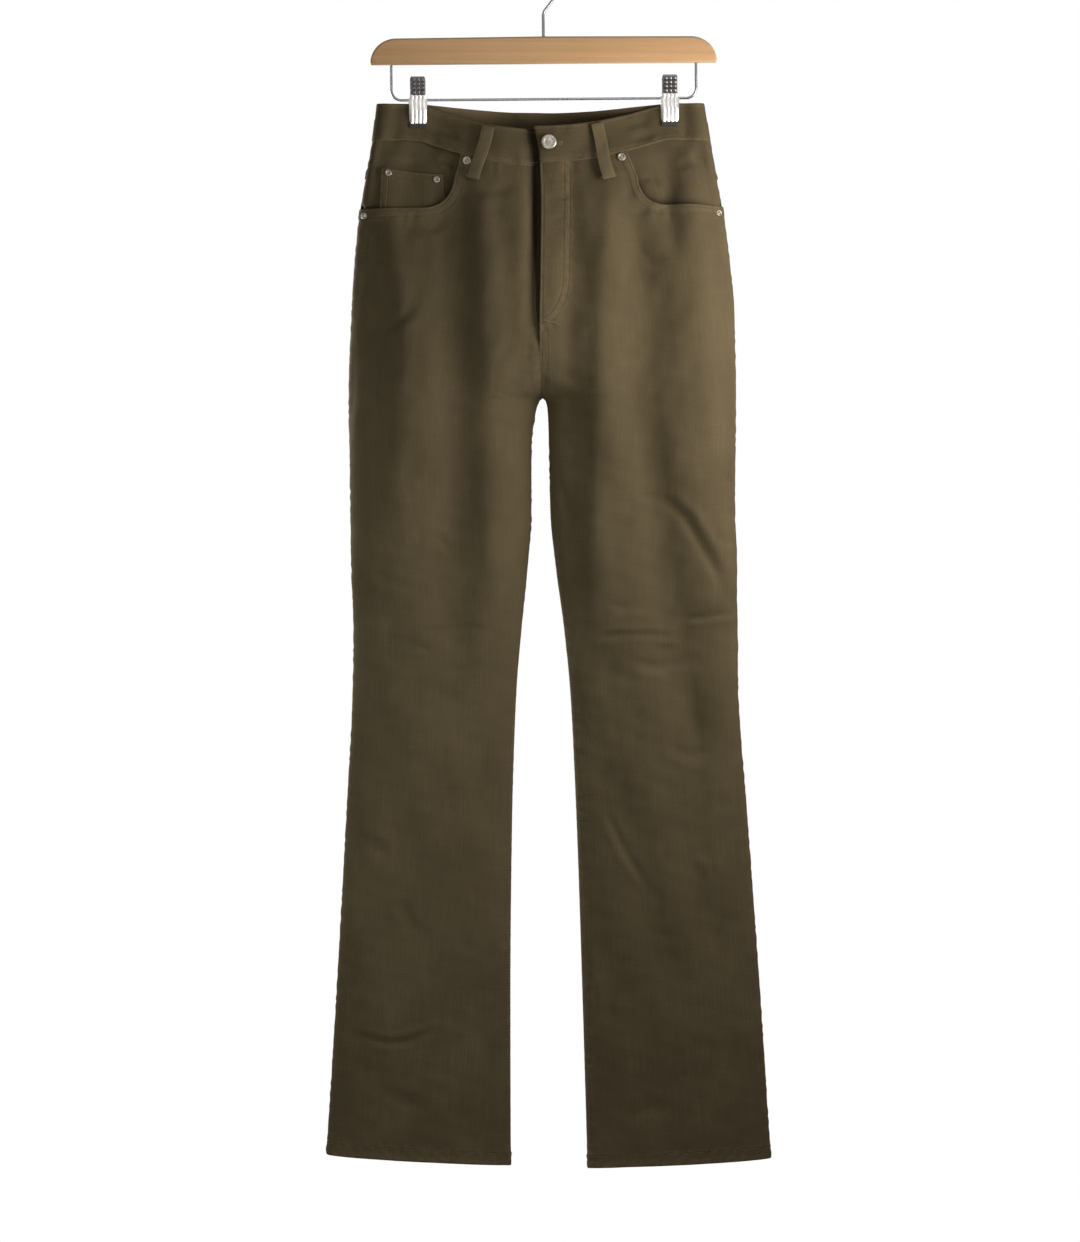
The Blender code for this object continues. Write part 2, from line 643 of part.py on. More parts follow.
def make_backs(parts):
    """The two back legs and the yokes above them. Gives the points of the legs."""
    sheets = {}
    for leg, word in ((RIGHT, "right"), (LEFT, "left")):
        top = lambda x, leg=leg: yoke_seam(leg, x) + SEAM
        rows = leg_rows(leg, 100.0)
        points = panel_points(BACK, leg, top, rows)
        panel = cloth(f"back_{word}", points, (0, 1, 0), CLOTH, parts)
        thicken_hem(panel, len(rows), points.shape[1])
        seam = lambda x, leg=leg: band_seam(BACK, leg, x) + SEAM
        steps = [lambda x, t, s=s, leg=leg: t + (yoke_seam(leg, x) - t) * s for s in (0, 1 / 3, 2 / 3, 1)]
        cloth(f"yoke_{word}", panel_points(BACK, leg, seam, steps, 10), (0, 1, 0), CLOTH, parts)
        sheets[leg] = points
    return sheets


def band_run(face, leg, stations, to_edge=False):
    """Rows of the waistband at distances from the side seam, the last moved to the fly's edge if asked."""
    rows = []
    for share in (0.0, 0.3, 0.5, 0.7, 1.0):
        x = outer_x(leg, 20.0) - leg * np.array(stations)
        for _ in range(3):
            drop = band_top(face, leg, x) + BAND_HEIGHT * share
            x = outer_x(leg, drop) - leg * np.array(stations)
        if to_edge:
            x[-1] = column(FLY, "edge", drop[-1]) + GAP / 2
        rows.append(surface(face, leg, angle_at(face, leg, x, drop), drop))
    return np.array(rows)


def make_waistband(parts):
    """The waistband, one strip from under the fly, round the back, to the buttoned end."""
    ear = [0.0, 0.6, 2.4, 5.4, 10.0, 17.0, 24.0, 31.0, 43.0, 57.0]
    open_run = [67.0, 79.0, 91.0, 104.0, 118.0, 134.0, 152.0]
    half_right, half_left = -float(outer_x(RIGHT, 20)), float(outer_x(LEFT, 20))
    under = [half_right - 10.0, half_right + 8.0, half_right + BAND_LAP - 12.0]
    front_right = band_run(FRONT, RIGHT, [*ear, *open_run, *under])[:, ::-1]
    back_right = band_run(BACK, RIGHT, [*ear[1:], *open_run, half_right])
    back_left = band_run(BACK, LEFT, [*ear, *open_run, half_left - 6.0])[:, ::-1]
    front_left = band_run(FRONT, LEFT, [*ear[1:], *open_run, half_left - 8.0, half_left + 9.0], True)
    strip = np.concatenate([front_right, back_right, back_left, front_left], axis=1)
    cloth("waistband", strip, (0, -1, 0), BAND_CLOTH, parts)


def make_fly(parts):
    """The shield that carries on from the wearer's right front under the fly, and the zip tape on it."""
    drops = np.linspace(69.5, 226.0, 8)[:, None]
    edge = column(FLY, "edge", drops)
    across = edge + np.linspace(GAP, SHIELD_LAP, 6)[None, :]
    points = laid(FRONT, RIGHT, across, drops)
    cloth("fly_shield", points, (0, -1, 0), CLOTH, parts)
    drops = np.linspace(72.0, 204.0, 8)[:, None]
    tape = column(FLY, "edge", drops) + np.linspace(3.0, 17.0, 4)[None, :]
    points = laid(FRONT, RIGHT, tape, drops, 2 * GAP)
    cloth("zip_tape", points, (0, -1, 0), 1.0, parts, "zip_brass", out=True)


def facing_lift(leg, x, drop):
    """The facing lies under the front, and comes up level with it at the side seam above the pocket mouth."""
    under = ease((abs(outer_x(leg, drop) - x) - 1.0) / FACING_RISE)
    level = SCOOPS[leg].level
    return -FACING_LIE[leg] * max(under, ease((drop - level + 16.0) / 12.0))


def make_pockets(parts, fronts, backs):
    """The facings behind the front pocket mouths, the watch pocket and the two patch pockets.

    Each is cut from the sheet of the panel that it lies on, so that the two keep their distance everywhere.
    """
    for leg, word in ((RIGHT, "right"), (LEFT, "left")):
        scoop = SCOOPS[leg]
        inner, foot = scoop.top_x - leg * FACING_MARGIN, scoop.top_x + leg * (scoop.lean - FACING_MARGIN)
        bottom = scoop.level + FACING_MARGIN
        outline = [(inner, 10.0), (foot, bottom), (leg * 260.0, bottom + 1.0), (leg * 260.0, 10.0)]
        sheet = open_grid(f"pocket_facing_{word}", fronts[leg], (0, -1, 0))
        trimmed(FRONT, leg, sheet, outline, lambda x, drop, leg=leg: facing_lift(leg, x, drop))
        thickened(add_object(sheet.name, sheet, "olive_twill", parts), POCKET_CLOTH, False)

        outer, near = leg * PATCH_OUTER, leg * PATCH_INNER
        inset = leg * PATCH_TAPER
        middle = (outer + near) / 2
        outline = [
            (near, PATCH_TOP + PATCH_TILT),
            (outer, PATCH_TOP - PATCH_TILT),
            (outer - inset, PATCH_BOTTOM - PATCH_TILT),
            (middle, PATCH_BOTTOM + PATCH_POINT),
            (near + inset, PATCH_BOTTOM + PATCH_TILT),
        ]
        sheet = open_grid(f"patch_pocket_{word}", backs[leg], (0, 1, 0))
        trimmed(BACK, leg, sheet, outline, lambda x, drop: GAP)
        thickened(add_object(sheet.name, sheet, "olive_twill", parts), CLOTH, True)

    sheet = open_grid("watch_pocket", fronts[RIGHT], (0, -1, 0))
    trimmed(FRONT, RIGHT, sheet, list(WATCH_POCKET), lambda x, drop: -(CLOTH + GAP))
    thickened(add_object(sheet.name, sheet, "olive_twill", parts), POCKET_CLOTH, False)


def make_loops(parts):
    """The five belt loops, each a strip that stands off the waistband between its sewn ends."""
    for loop in LOOPS:
        along = np.linspace(0, 1, 10)[:, None]
        across = np.linspace(-0.5, 0.5, 4)[None, :] * LOOP_WIDTH
        x = loop.x_top + (loop.x_bottom - loop.x_top) * along + across
        lean = math.atan2(loop.x_bottom - loop.x_top, loop.bottom - loop.top)
        drop = loop.top + (loop.bottom - loop.top) * along - across * math.tan(lean)
        stand = LOOP_FOOT + LOOP_STAND * np.clip(np.sin(math.pi * along), 0, 1) ** 0.6
        legs = [LEFT if loop.x_bottom > 0 else RIGHT] * 4 if loop.x_bottom else [RIGHT, RIGHT, LEFT, LEFT]
        columns = [laid(loop.face, leg, x[:, c], drop[:, c], stand[:, 0]) for c, leg in enumerate(legs)]
        points = np.stack(columns, axis=1)
        cloth(loop.name, points, (0, loop.face, 0), LOOP_CLOTH, parts, out=True)


def seat(leg, x, drop, radius, lie=0.0):
    """The point and direction at which a flat round piece rests on the front, touching nothing under it."""
    angle = angle_at(FRONT, leg, np.array(x), np.array(drop))
    middle, facing = surface(FRONT, leg, angle, np.array(drop)), normals(FRONT, leg, angle, np.array(drop))
    turns = np.radians(np.arange(0, 360, 30))
    rim = laid(FRONT, leg, x + radius * np.cos(turns), drop + radius * np.sin(turns))
    highest = max(0.0, float(((rim - middle) @ facing).max()))
    return middle + facing * (highest + 2 * GAP - lie), facing


def make_metal(parts):
    """The waist button and the rivets, each turned and set on the cloth that carries it."""
    radius = BUTTON_DIAMETER / 2
    rim = [(0.0, 5.4), (radius * 0.45, 5.3), (radius * 0.8, 4.8), (radius, 4.0), (radius, 3.3), (radius * 0.85, 2.8)]
    button = turned("waist_button", [*rim, (3.4, 2.6), (3.4, 0.0), (0.0, 0.0)], "brushed_nickel", parts, 20)
    place(button, *seat(LEFT, *BUTTON_AT, 3.4))
    for rivet in RIVETS:
        radius = rivet.diameter / 2
        shape = [(0.0, 1.5), (radius * 0.2, 1.5), (radius * 0.3, 0.9), (radius * 0.55, 1.3), (radius * 0.85, 1.1)]
        made = turned(rivet.name, [*shape, (radius, 0.5), (radius, 0.0), (0.0, 0.0)], "brushed_nickel", parts, 12)
        place(made, *seat(rivet.leg, rivet.x, rivet.drop, radius, rivet.lie))


# -------------------------------------------------------------------------------------------------- the hanger
def bar_outline():
    """The bar's outline in x and z: a straight foot, upright toes and a long rounded shoulder at each end."""
    half, top, foot = BAR_LENGTH / 2, -BAR_TOP, -BAR_TOP - BAR_HEIGHT
    centre = half - BAR_END_ROUND
    end = arc((centre, foot + 2.0), (BAR_END_ROUND, BAR_HEIGHT - 3.0), 0, 90, 8)
    right = [(half - 3.0, foot), *end]
    return [*right, (0.0, top), *[(-x, z) for x, z in reversed(right)]]


def hole_cutter(name, x, top, bottom, diameter, cutters):
    """An upright round cutter."""
    bpy.ops.mesh.primitive_cylinder_add(vertices=16, radius=diameter / 2 * MM, depth=(top - bottom) * MM)
    made = bpy.context.object
    made.name = name
    made.location = (x * MM, 0, (top + bottom) / 2 * MM)
    for collection in list(made.users_collection):
        collection.objects.unlink(made)
    cutters.objects.link(made)
    made.hide_render = True
    made.display_type = "WIRE"
    return made


def make_bar(parts, cutters, tilt):
    """The wooden bar, drilled for the hook and for the two ends of the rod."""
    bar = add_object("hanger_bar", prism("bar", bar_outline(), -BAR_DEPTH / 2, BAR_DEPTH / 2), "beech", parts)
    edge = bar.modifiers.new("Rounded edges", "BEVEL")
    edge.width = BAR_EDGE_ROUND * MM
    edge.segments = 2
    edge.limit_method = "ANGLE"
    edge.angle_limit = math.radians(50)
    bar.parent = tilt
    foot = -BAR_TOP - BAR_HEIGHT
    holes = [("hook hole", 0.0, -BAR_TOP + 5.0, -BAR_TOP - HOOK_SINK - GAP, HOOK_WIRE)]
    holes += [(f"rod hole {x}", x, foot + ROD_SINK + GAP, foot - 5.0, ROD_WIRE) for x in (-ROD_HALF_SPAN, ROD_HALF_SPAN)]
    for name, x, top, bottom, wire_size in holes:
        hole = hole_cutter(name, x, top, bottom, wire_size + 2 * GAP, cutters)
        hole.parent = tilt
        cut(bar, hole)


def make_hook(parts, tilt):
    """The wire hook: a straight neck, a slanted run and a round bow whose inside top rests on the rail."""
    bow = HOOK_RADIUS
    centre_z = -(bow - HOOK_WIRE / 2)
    neck_top = -BAR_TOP + HOOK_NECK
    rise = centre_z - neck_top
    lean = math.asin(bow / rise)
    start = math.degrees(-lean)
    neck = [(0.0, z) for z in np.linspace(-BAR_TOP - HOOK_SINK, neck_top - 3.0, 4)]
    reach = math.sqrt(rise**2 - bow**2)
    slant = [(math.sin(lean) * reach * s, neck_top + math.cos(lean) * reach * s) for s in (0.12, 0.5, 0.85)]
    round_bow = arc((0.0, centre_z), (bow, bow), start, 205.0, 18)
    points = [(x, 0.0, z) for x, z in [*neck, *slant, *round_bow]]
    wire("hanger_hook", points, HOOK_WIRE, "chrome_wire", parts).parent = tilt


def make_rod(parts, tilt):
    """The wire rod under the bar, with both ends turned up into it."""
    top = -BAR_TOP - BAR_HEIGHT + ROD_SINK
    corner_z = -ROD_DROP + ROD_CORNER
    inner = ROD_HALF_SPAN - ROD_CORNER
    right = arc((inner, corner_z), (ROD_CORNER, ROD_CORNER), 0, -90, 6)
    half = [(ROD_HALF_SPAN, top), *right, (60.0, -ROD_DROP)]
    points = [*half, *[(-x, z) for x, z in reversed(half)]]
    wire("hanger_rod", [(x, 0.0, z) for x, z in points], ROD_WIRE, "chrome_wire", parts).parent = tilt


def leaf_points(face):
    """A clip leaf as rows of points about the rod: a ribbed thumb tab, a waist round the spring and a fluted jaw."""
    profile = ((-11.5, 24.0), (-8.4, 15.0), (-5.6, 7.0), (-4.9, 1.5), (-6.4, -5.0), (-7.6, -12.0), (-6.9, -19.0), (-5.5, -26.0))
    rows = []
    for y, z in profile:
        width = CLIP_TAB_WIDTH if z > 5 else CLIP_JAW_WIDTH
        across = np.linspace(-0.5, 0.5, 9) * width
        ribs = np.where(np.arange(9) % 2 == 1, CLIP_RIB, 0.0) * (1.0 if z < 8 else 0.6)
        rows.append([(x, -face * (y - rib), z) for x, rib in zip(across, ribs)])
    return np.array(rows)


def make_clip(word, x, parts, tilt):
    """A sprung clip: two leaves on a coil round the rod, with a rubber pad in each jaw."""
    pivot = Vector((x, 0, -ROD_DROP)) * MM
    spring_inner, spring_outer, half = ROD_WIRE / 2 + GAP, 3.5, 6.5
    ring = [(spring_inner, half), (spring_outer, half), (spring_outer, -half), (spring_inner, -half), (spring_inner, half)]
    spring = turned(f"clip_spring_{word}", ring, "chrome_wire", parts, 12)
    spring.matrix_world = Matrix.Translation(pivot) @ Matrix.Rotation(math.radians(90), 4, "Y")
    spring.parent = tilt
    for face, side in ((FRONT, "front"), (BACK, "back")):
        leaf = cloth(f"clip_{side}_{word}", leaf_points(face), (0, face, 0), CLIP_PLATE, parts, "clip_steel")
        leaf.location = pivot
        leaf.parent = tilt
        near = CLIPPED + SEAM
        bpy.ops.mesh.primitive_cube_add(size=1.0)
        pad = bpy.context.object
        pad.name = pad.data.name = f"clip_pad_{side}_{word}"
        pad.data.transform(Matrix.Diagonal((PAD_WIDTH * MM, PAD_THICKNESS * MM, 11.0 * MM, 1.0)))
        pad.location = pivot + Vector((0, face * (near + PAD_THICKNESS / 2), -25.5)) * MM
        pad.data.materials.append(material("clip_rubber"))
        for collection in list(pad.users_collection):
            collection.objects.unlink(pad)
        parts.objects.link(pad)
        pad.parent = tilt


def main():
    """Builds the jeans and the hanger in their own collection."""
    for old in list(bpy.data.objects):
        bpy.data.objects.remove(old)
    parts = bpy.data.collections.new("Jeans on a clip hanger")
    cutters = bpy.data.collections.new("Cutters")
    for collection in (parts, cutters):
        bpy.context.scene.collection.children.link(collection)

    fronts = make_fronts(parts, cutters)
    backs = make_backs(parts)
    make_waistband(parts)
    make_fly(parts)
    make_pockets(parts, fronts, backs)
    make_loops(parts)
    make_metal(parts)

    tilt = bpy.data.objects.new("hanger tilt", None)
    tilt.rotation_euler = (0.0, -HANGER_TILT, 0.0)
    parts.objects.link(tilt)
    make_bar(parts, cutters, tilt)
    make_hook(parts, tilt)
    make_rod(parts, tilt)
    for word, x in (("right", -CLIP_X), ("left", CLIP_X)):
        make_clip(word, x, parts, tilt)


main()
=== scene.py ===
"""Olive bootcut jeans on a wooden clip hanger, dressed for rendering over their solid frame.

The frame gives the solids. This file lays finer cloth, sewing, metal and wood over them, in the same place
and to the same sizes. Tables and named sizes are in millimetres. Drop is the distance below the top of the
side waistband, and x the distance from the centre line, positive on the wearer's left. The front faces -Y.
"""

from __future__ import annotations

import logging
import math
from dataclasses import dataclass, field
from enum import IntEnum
from typing import Callable, Iterable, NamedTuple, Sequence

import bmesh
import bpy
import numpy as np
from mathutils import Matrix, Vector

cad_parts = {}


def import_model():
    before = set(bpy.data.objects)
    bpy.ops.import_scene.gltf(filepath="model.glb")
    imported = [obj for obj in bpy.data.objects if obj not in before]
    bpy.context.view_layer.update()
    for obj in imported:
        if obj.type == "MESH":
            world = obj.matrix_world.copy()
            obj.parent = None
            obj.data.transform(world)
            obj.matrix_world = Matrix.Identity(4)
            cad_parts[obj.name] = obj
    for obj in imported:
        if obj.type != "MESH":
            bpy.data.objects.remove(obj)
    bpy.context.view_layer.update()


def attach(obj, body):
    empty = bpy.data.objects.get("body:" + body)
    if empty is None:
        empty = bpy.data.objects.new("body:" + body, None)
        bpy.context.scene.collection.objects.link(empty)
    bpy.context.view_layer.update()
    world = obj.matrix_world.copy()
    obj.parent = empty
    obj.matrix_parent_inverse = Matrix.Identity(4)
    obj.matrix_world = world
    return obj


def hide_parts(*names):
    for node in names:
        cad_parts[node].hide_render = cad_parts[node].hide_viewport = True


MM = 0.001
Array = np.ndarray
Piece = bpy.types.Object
Socket = bpy.types.NodeSocket
log = logging.getLogger("jeans")


class Face(IntEnum):
    """Which side of the garment a piece is on, as the sign of its outward Y."""

    FRONT = -1
    BACK = 1


class Leg(IntEnum):
    """The wearer's side, as the sign of its X."""

    RIGHT = -1
    LEFT = 1


WORDS = {Leg.RIGHT: "right", Leg.LEFT: "left"}


# ------------ small numbers
def ease(share: Array) -> Array:
    """Smooth step from 0 to 1."""
    t = np.clip(share, 0.0, 1.0)
    return t * t * (3.0 - 2.0 * t)


def bell(distance: Array, width: float) -> Array:
    """A bell curve, 1 at no distance."""
    return np.exp(-((np.asarray(distance) / width) ** 2))


class Smooth:
    """A smooth curve through a few values, which never overshoots them."""

    def __init__(self, stations: Sequence[float], values: Sequence[float]) -> None:
        """Works out the tangents at the stations."""
        self.x, self.y = np.asarray(stations, float), np.asarray(values, float)
        self.step = np.diff(self.x)
        slope = np.diff(self.y) / self.step
        same = slope[:-1] * slope[1:] > 0
        mean = 2 * slope[:-1] * slope[1:] / np.where(same, slope[:-1] + slope[1:], 1.0)
        self.tangent = np.concatenate([[slope[0]], np.where(same, mean, 0.0), [slope[-1]]])

    def __call__(self, at: Array) -> Array:
        """The value at any station, held level past both ends."""
        at = np.clip(at, self.x[0], self.x[-1])
        k = np.clip(np.searchsorted(self.x, at, side="right") - 1, 0, len(self.step) - 1)
        t = (at - self.x[k]) / self.step[k]
        return (
            self.y[k] * (1 + 2 * t) * (1 - t) ** 2
            + self.y[k + 1] * t * t * (3 - 2 * t)
            + self.step[k] * t * (1 - t) * (self.tangent[k] * (1 - t) - self.tangent[k + 1] * t)
        )


def polyline_distance(path: Array, x: Array, drop: Array) -> tuple[Array, Array]:
    """How far points are from a path on the cloth's plan.

    Args:
        path: Corners of the path, as x and drop.
        x: The points' distances from the centre line.
        drop: The points' drops.

    Returns:
        The signed distance, positive on the right of the path's way as drawn with the drop downwards, and
        how far along the path the nearest place is, from 0 to 1.
    """
    path = np.asarray(path, float)
    lengths = np.hypot(*np.diff(path, axis=0).T)
    before = np.concatenate([[0.0], np.cumsum(lengths)])
    best = np.full(np.broadcast(x, drop).shape, 1e9)
    side, along = np.ones_like(best), np.zeros_like(best)
    for k, (start, end) in enumerate(zip(path[:-1], path[1:])):
        way = (end - start) / lengths[k]
        dx, dd = x - start[0], drop - start[1]
        t = np.clip(dx * way[0] + dd * way[1], 0.0, lengths[k])
        far = np.hypot(dx - t * way[0], dd - t * way[1])
        near = far < best
        best = np.where(near, far, best)
        cross = way[0] * dd - way[1] * dx
        side = np.where(near, np.where(cross >= 0, 1.0, -1.0), side)
        along = np.where(near, (before[k] + t) / before[-1], along)
    return best * side, along


def arc_points(
    centre: tuple[float, float], radii: tuple[float, float], start: float, end: float, steps: int
) -> list:
    """Points on an elliptical arc, angles in degrees."""
    turns = np.radians(np.linspace(start, end, steps + 1))
    return [(centre[0] + radii[0] * math.cos(t), centre[1] + radii[1] * math.sin(t)) for t in turns]


# ------------ the hanging surface
class Section(NamedTuple):
    """A level section: the outline's distances from the centre line, and how far front and back stand out."""

    drop: float
    right_out: float
    right_in: float
    left_in: float
    left_out: float
    front: float
    back: float


class Fold(NamedTuple):
    """A long soft fold through three points. A positive depth is a trough."""

    face: Face
    leg: Leg
    top: float
    x_top: float
    mid: float
    x_mid: float
    end: float
    x_end: float
    half_width: float
    depth: float


class Drape(NamedTuple):
    """A broad ridge with its own reach to the left and right. A negative height makes it a trough."""

    face: Face
    leg: Leg
    top: float
    x_top: float
    mid: float
    x_mid: float
    end: float
    x_end: float
    left: float
    right: float
    height: float


def centre_line(row: Fold | Drape) -> Smooth:
    """The x of a fold's or drape's middle by drop."""
    return Smooth((row.top, row.mid, row.end), (row.x_top, row.x_mid, row.x_end))


def fading(row: Fold | Drape, drop: Array) -> Array:
    """How strong a fold or drape is at a drop: whole along its middle, nothing past its ends."""
    reach = (row.end - row.top) / 4
    return ease((drop - row.top + reach / 2) / reach) * ease((row.end - drop) / (reach * 1.4))


class FlyRow(NamedTuple):
    """The fly's free edge at a drop, and how deep the other front lies under it."""

    drop: float
    edge: float
    dip: float


class Sag(NamedTuple):
    """The waistband's top edge between the clips."""

    edge: float
    centre: float
    half_span: float


F, B, R, L = Face.FRONT, Face.BACK, Leg.RIGHT, Leg.LEFT

SECTIONS = (
    Section(0, -179.0, 0, 0, 174.0, 44, 50),
    Section(38, -183.5, 0, 0, 180.0, 44, 50),
    Section(80, -191.0, 0, 0, 187.5, 46, 54),
    Section(147, -201.0, 0, 0, 199.0, 50, 61),
    Section(228, -206.5, 0, 0, 206.5, 53, 65.5),
    Section(317.5, -209.5, -0.15, 0.15, 208.5, 54, 61.5),
    Section(321, -209.5, -4.0, 3.6, 208.5, 53.9, 61.1),
    Section(331, -209.5, -8.0, 6.0, 208.5, 53.7, 60.2),
    Section(374, -208.5, -13.0, 7.6, 208.0, 51.8, 56),
    Section(440, -207.5, -13.0, 8.8, 207.4, 47, 50),
    Section(503, -206.3, -17.3, 15.1, 207.4, 42, 44),
    Section(568, -204.2, -23.8, 23.8, 208.4, 36, 39),
    Section(633, -205.2, -29.0, 30.2, 210.6, 32, 35),
    Section(763, -211.7, -33.5, 36.7, 220.3, 27, 31),
    Section(957, -222.5, -35.6, 43.2, 234.4, 24, 28),
    Section(1150, -234.5, -35.0, 49.0, 247.0, 23, 27),
)

FOLDS = (
    Fold(F, R, 120, -112, 400, -94, 690, -99, 25, 13.0),
    Fold(F, L, 120, 97, 400, 119, 730, 158, 25, 14.0),
    Fold(F, L, 62, 26, 160, 31, 300, 29, 15, 5.0),
    Fold(F, R, 40, -140, 80, -143, 190, -150, 14, 4.0),
    Fold(F, L, 40, 134, 80, 136, 185, 140, 13, 6.0),
    Fold(F, R, 700, -160, 830, -148, 1000, -150, 24, 3.5),
    Fold(F, L, 720, 70, 850, 112, 1010, 128, 20, 3.5),
    Fold(F, R, 940, -62, 1060, -60, 1142, -64, 15, 3.5),
    Fold(B, R, 250, -112, 440, -104, 700, -112, 28, 13.0),
    Fold(B, L, 240, 108, 450, 112, 720, 134, 28, 12.0),
    Fold(B, R, 40, -140, 90, -142, 200, -152, 15, 5.0),
    Fold(B, L, 40, 134, 90, 138, 200, 150, 15, 5.0),
    Fold(B, R, 720, -140, 900, -150, 1060, -160, 26, 4.0),
    Fold(B, L, 760, 118, 930, 140, 1080, 166, 26, 4.0),
)

DRAPES = (
    Drape(F, R, 120, -120, 220, -119, 340, -116, 15, 15, 3.5),
    Drape(F, R, 110, -84, 220, -84, 360, -83, 13, 13, -4.0),
    Drape(F, R, 90, -64, 290, -54, 620, -58, 17, 20, 6.0),
    Drape(F, R, 110, -152, 280, -154, 540, -156, 20, 16, 3.5),
    Drape(F, R, 120, -190, 280, -194, 500, -194, 14, 16, -2.5),
    Drape(F, R, 640, -92, 760, -90, 900, -96, 22, 18, -2.0),
    Drape(F, L, 250, 28, 400, 29, 620, 38, 11, 12, -3.0),
    Drape(F, L, 60, 76, 212, 65, 640, 55, 13, 22, 6.0),
    Drape(F, L, 84, 156, 341, 183, 720, 204, 27, 16, 9.5),
    Drape(F, L, 640, 156, 760, 163, 920, 172, 22, 16, -3.0),
    Drape(F, L, 620, 190, 760, 198, 920, 206, 18, 14, 2.0),
    Drape(B, R, 150, -60, 280, -64, 420, -70, 24, 20, 2.5),
    Drape(B, R, 300, -160, 460, -156, 640, -158, 20, 22, 3.0),
    Drape(B, R, 640, -90, 800, -92, 980, -98, 24, 20, -2.5),
    Drape(B, L, 150, 62, 280, 64, 430, 68, 22, 22, 2.5),
    Drape(B, L, 300, 156, 470, 158, 650, 166, 22, 20, 3.0),
    Drape(B, L, 660, 96, 820, 104, 1000, 116, 22, 24, -2.5),
)

FLY = (
    FlyRow(20, -10.0, 4.6),
    FlyRow(58, -3.0, 5.4),
    FlyRow(110, -1.6, 9.0),
    FlyRow(180, -2.2, 9.0),
    FlyRow(228, -3.0, 6.5),
    FlyRow(275, -3.2, 0.0),
    FlyRow(317.5, 0.0, 0.0),
)

BAND_SAG = {
    (F, R): Sag(1.5, 28.0, 133.0),
    (F, L): Sag(1.0, 24.5, 133.0),
    (B, R): Sag(1.5, 8.5, 133.0),
    (B, L): Sag(1.0, 9.0, 133.0),
}


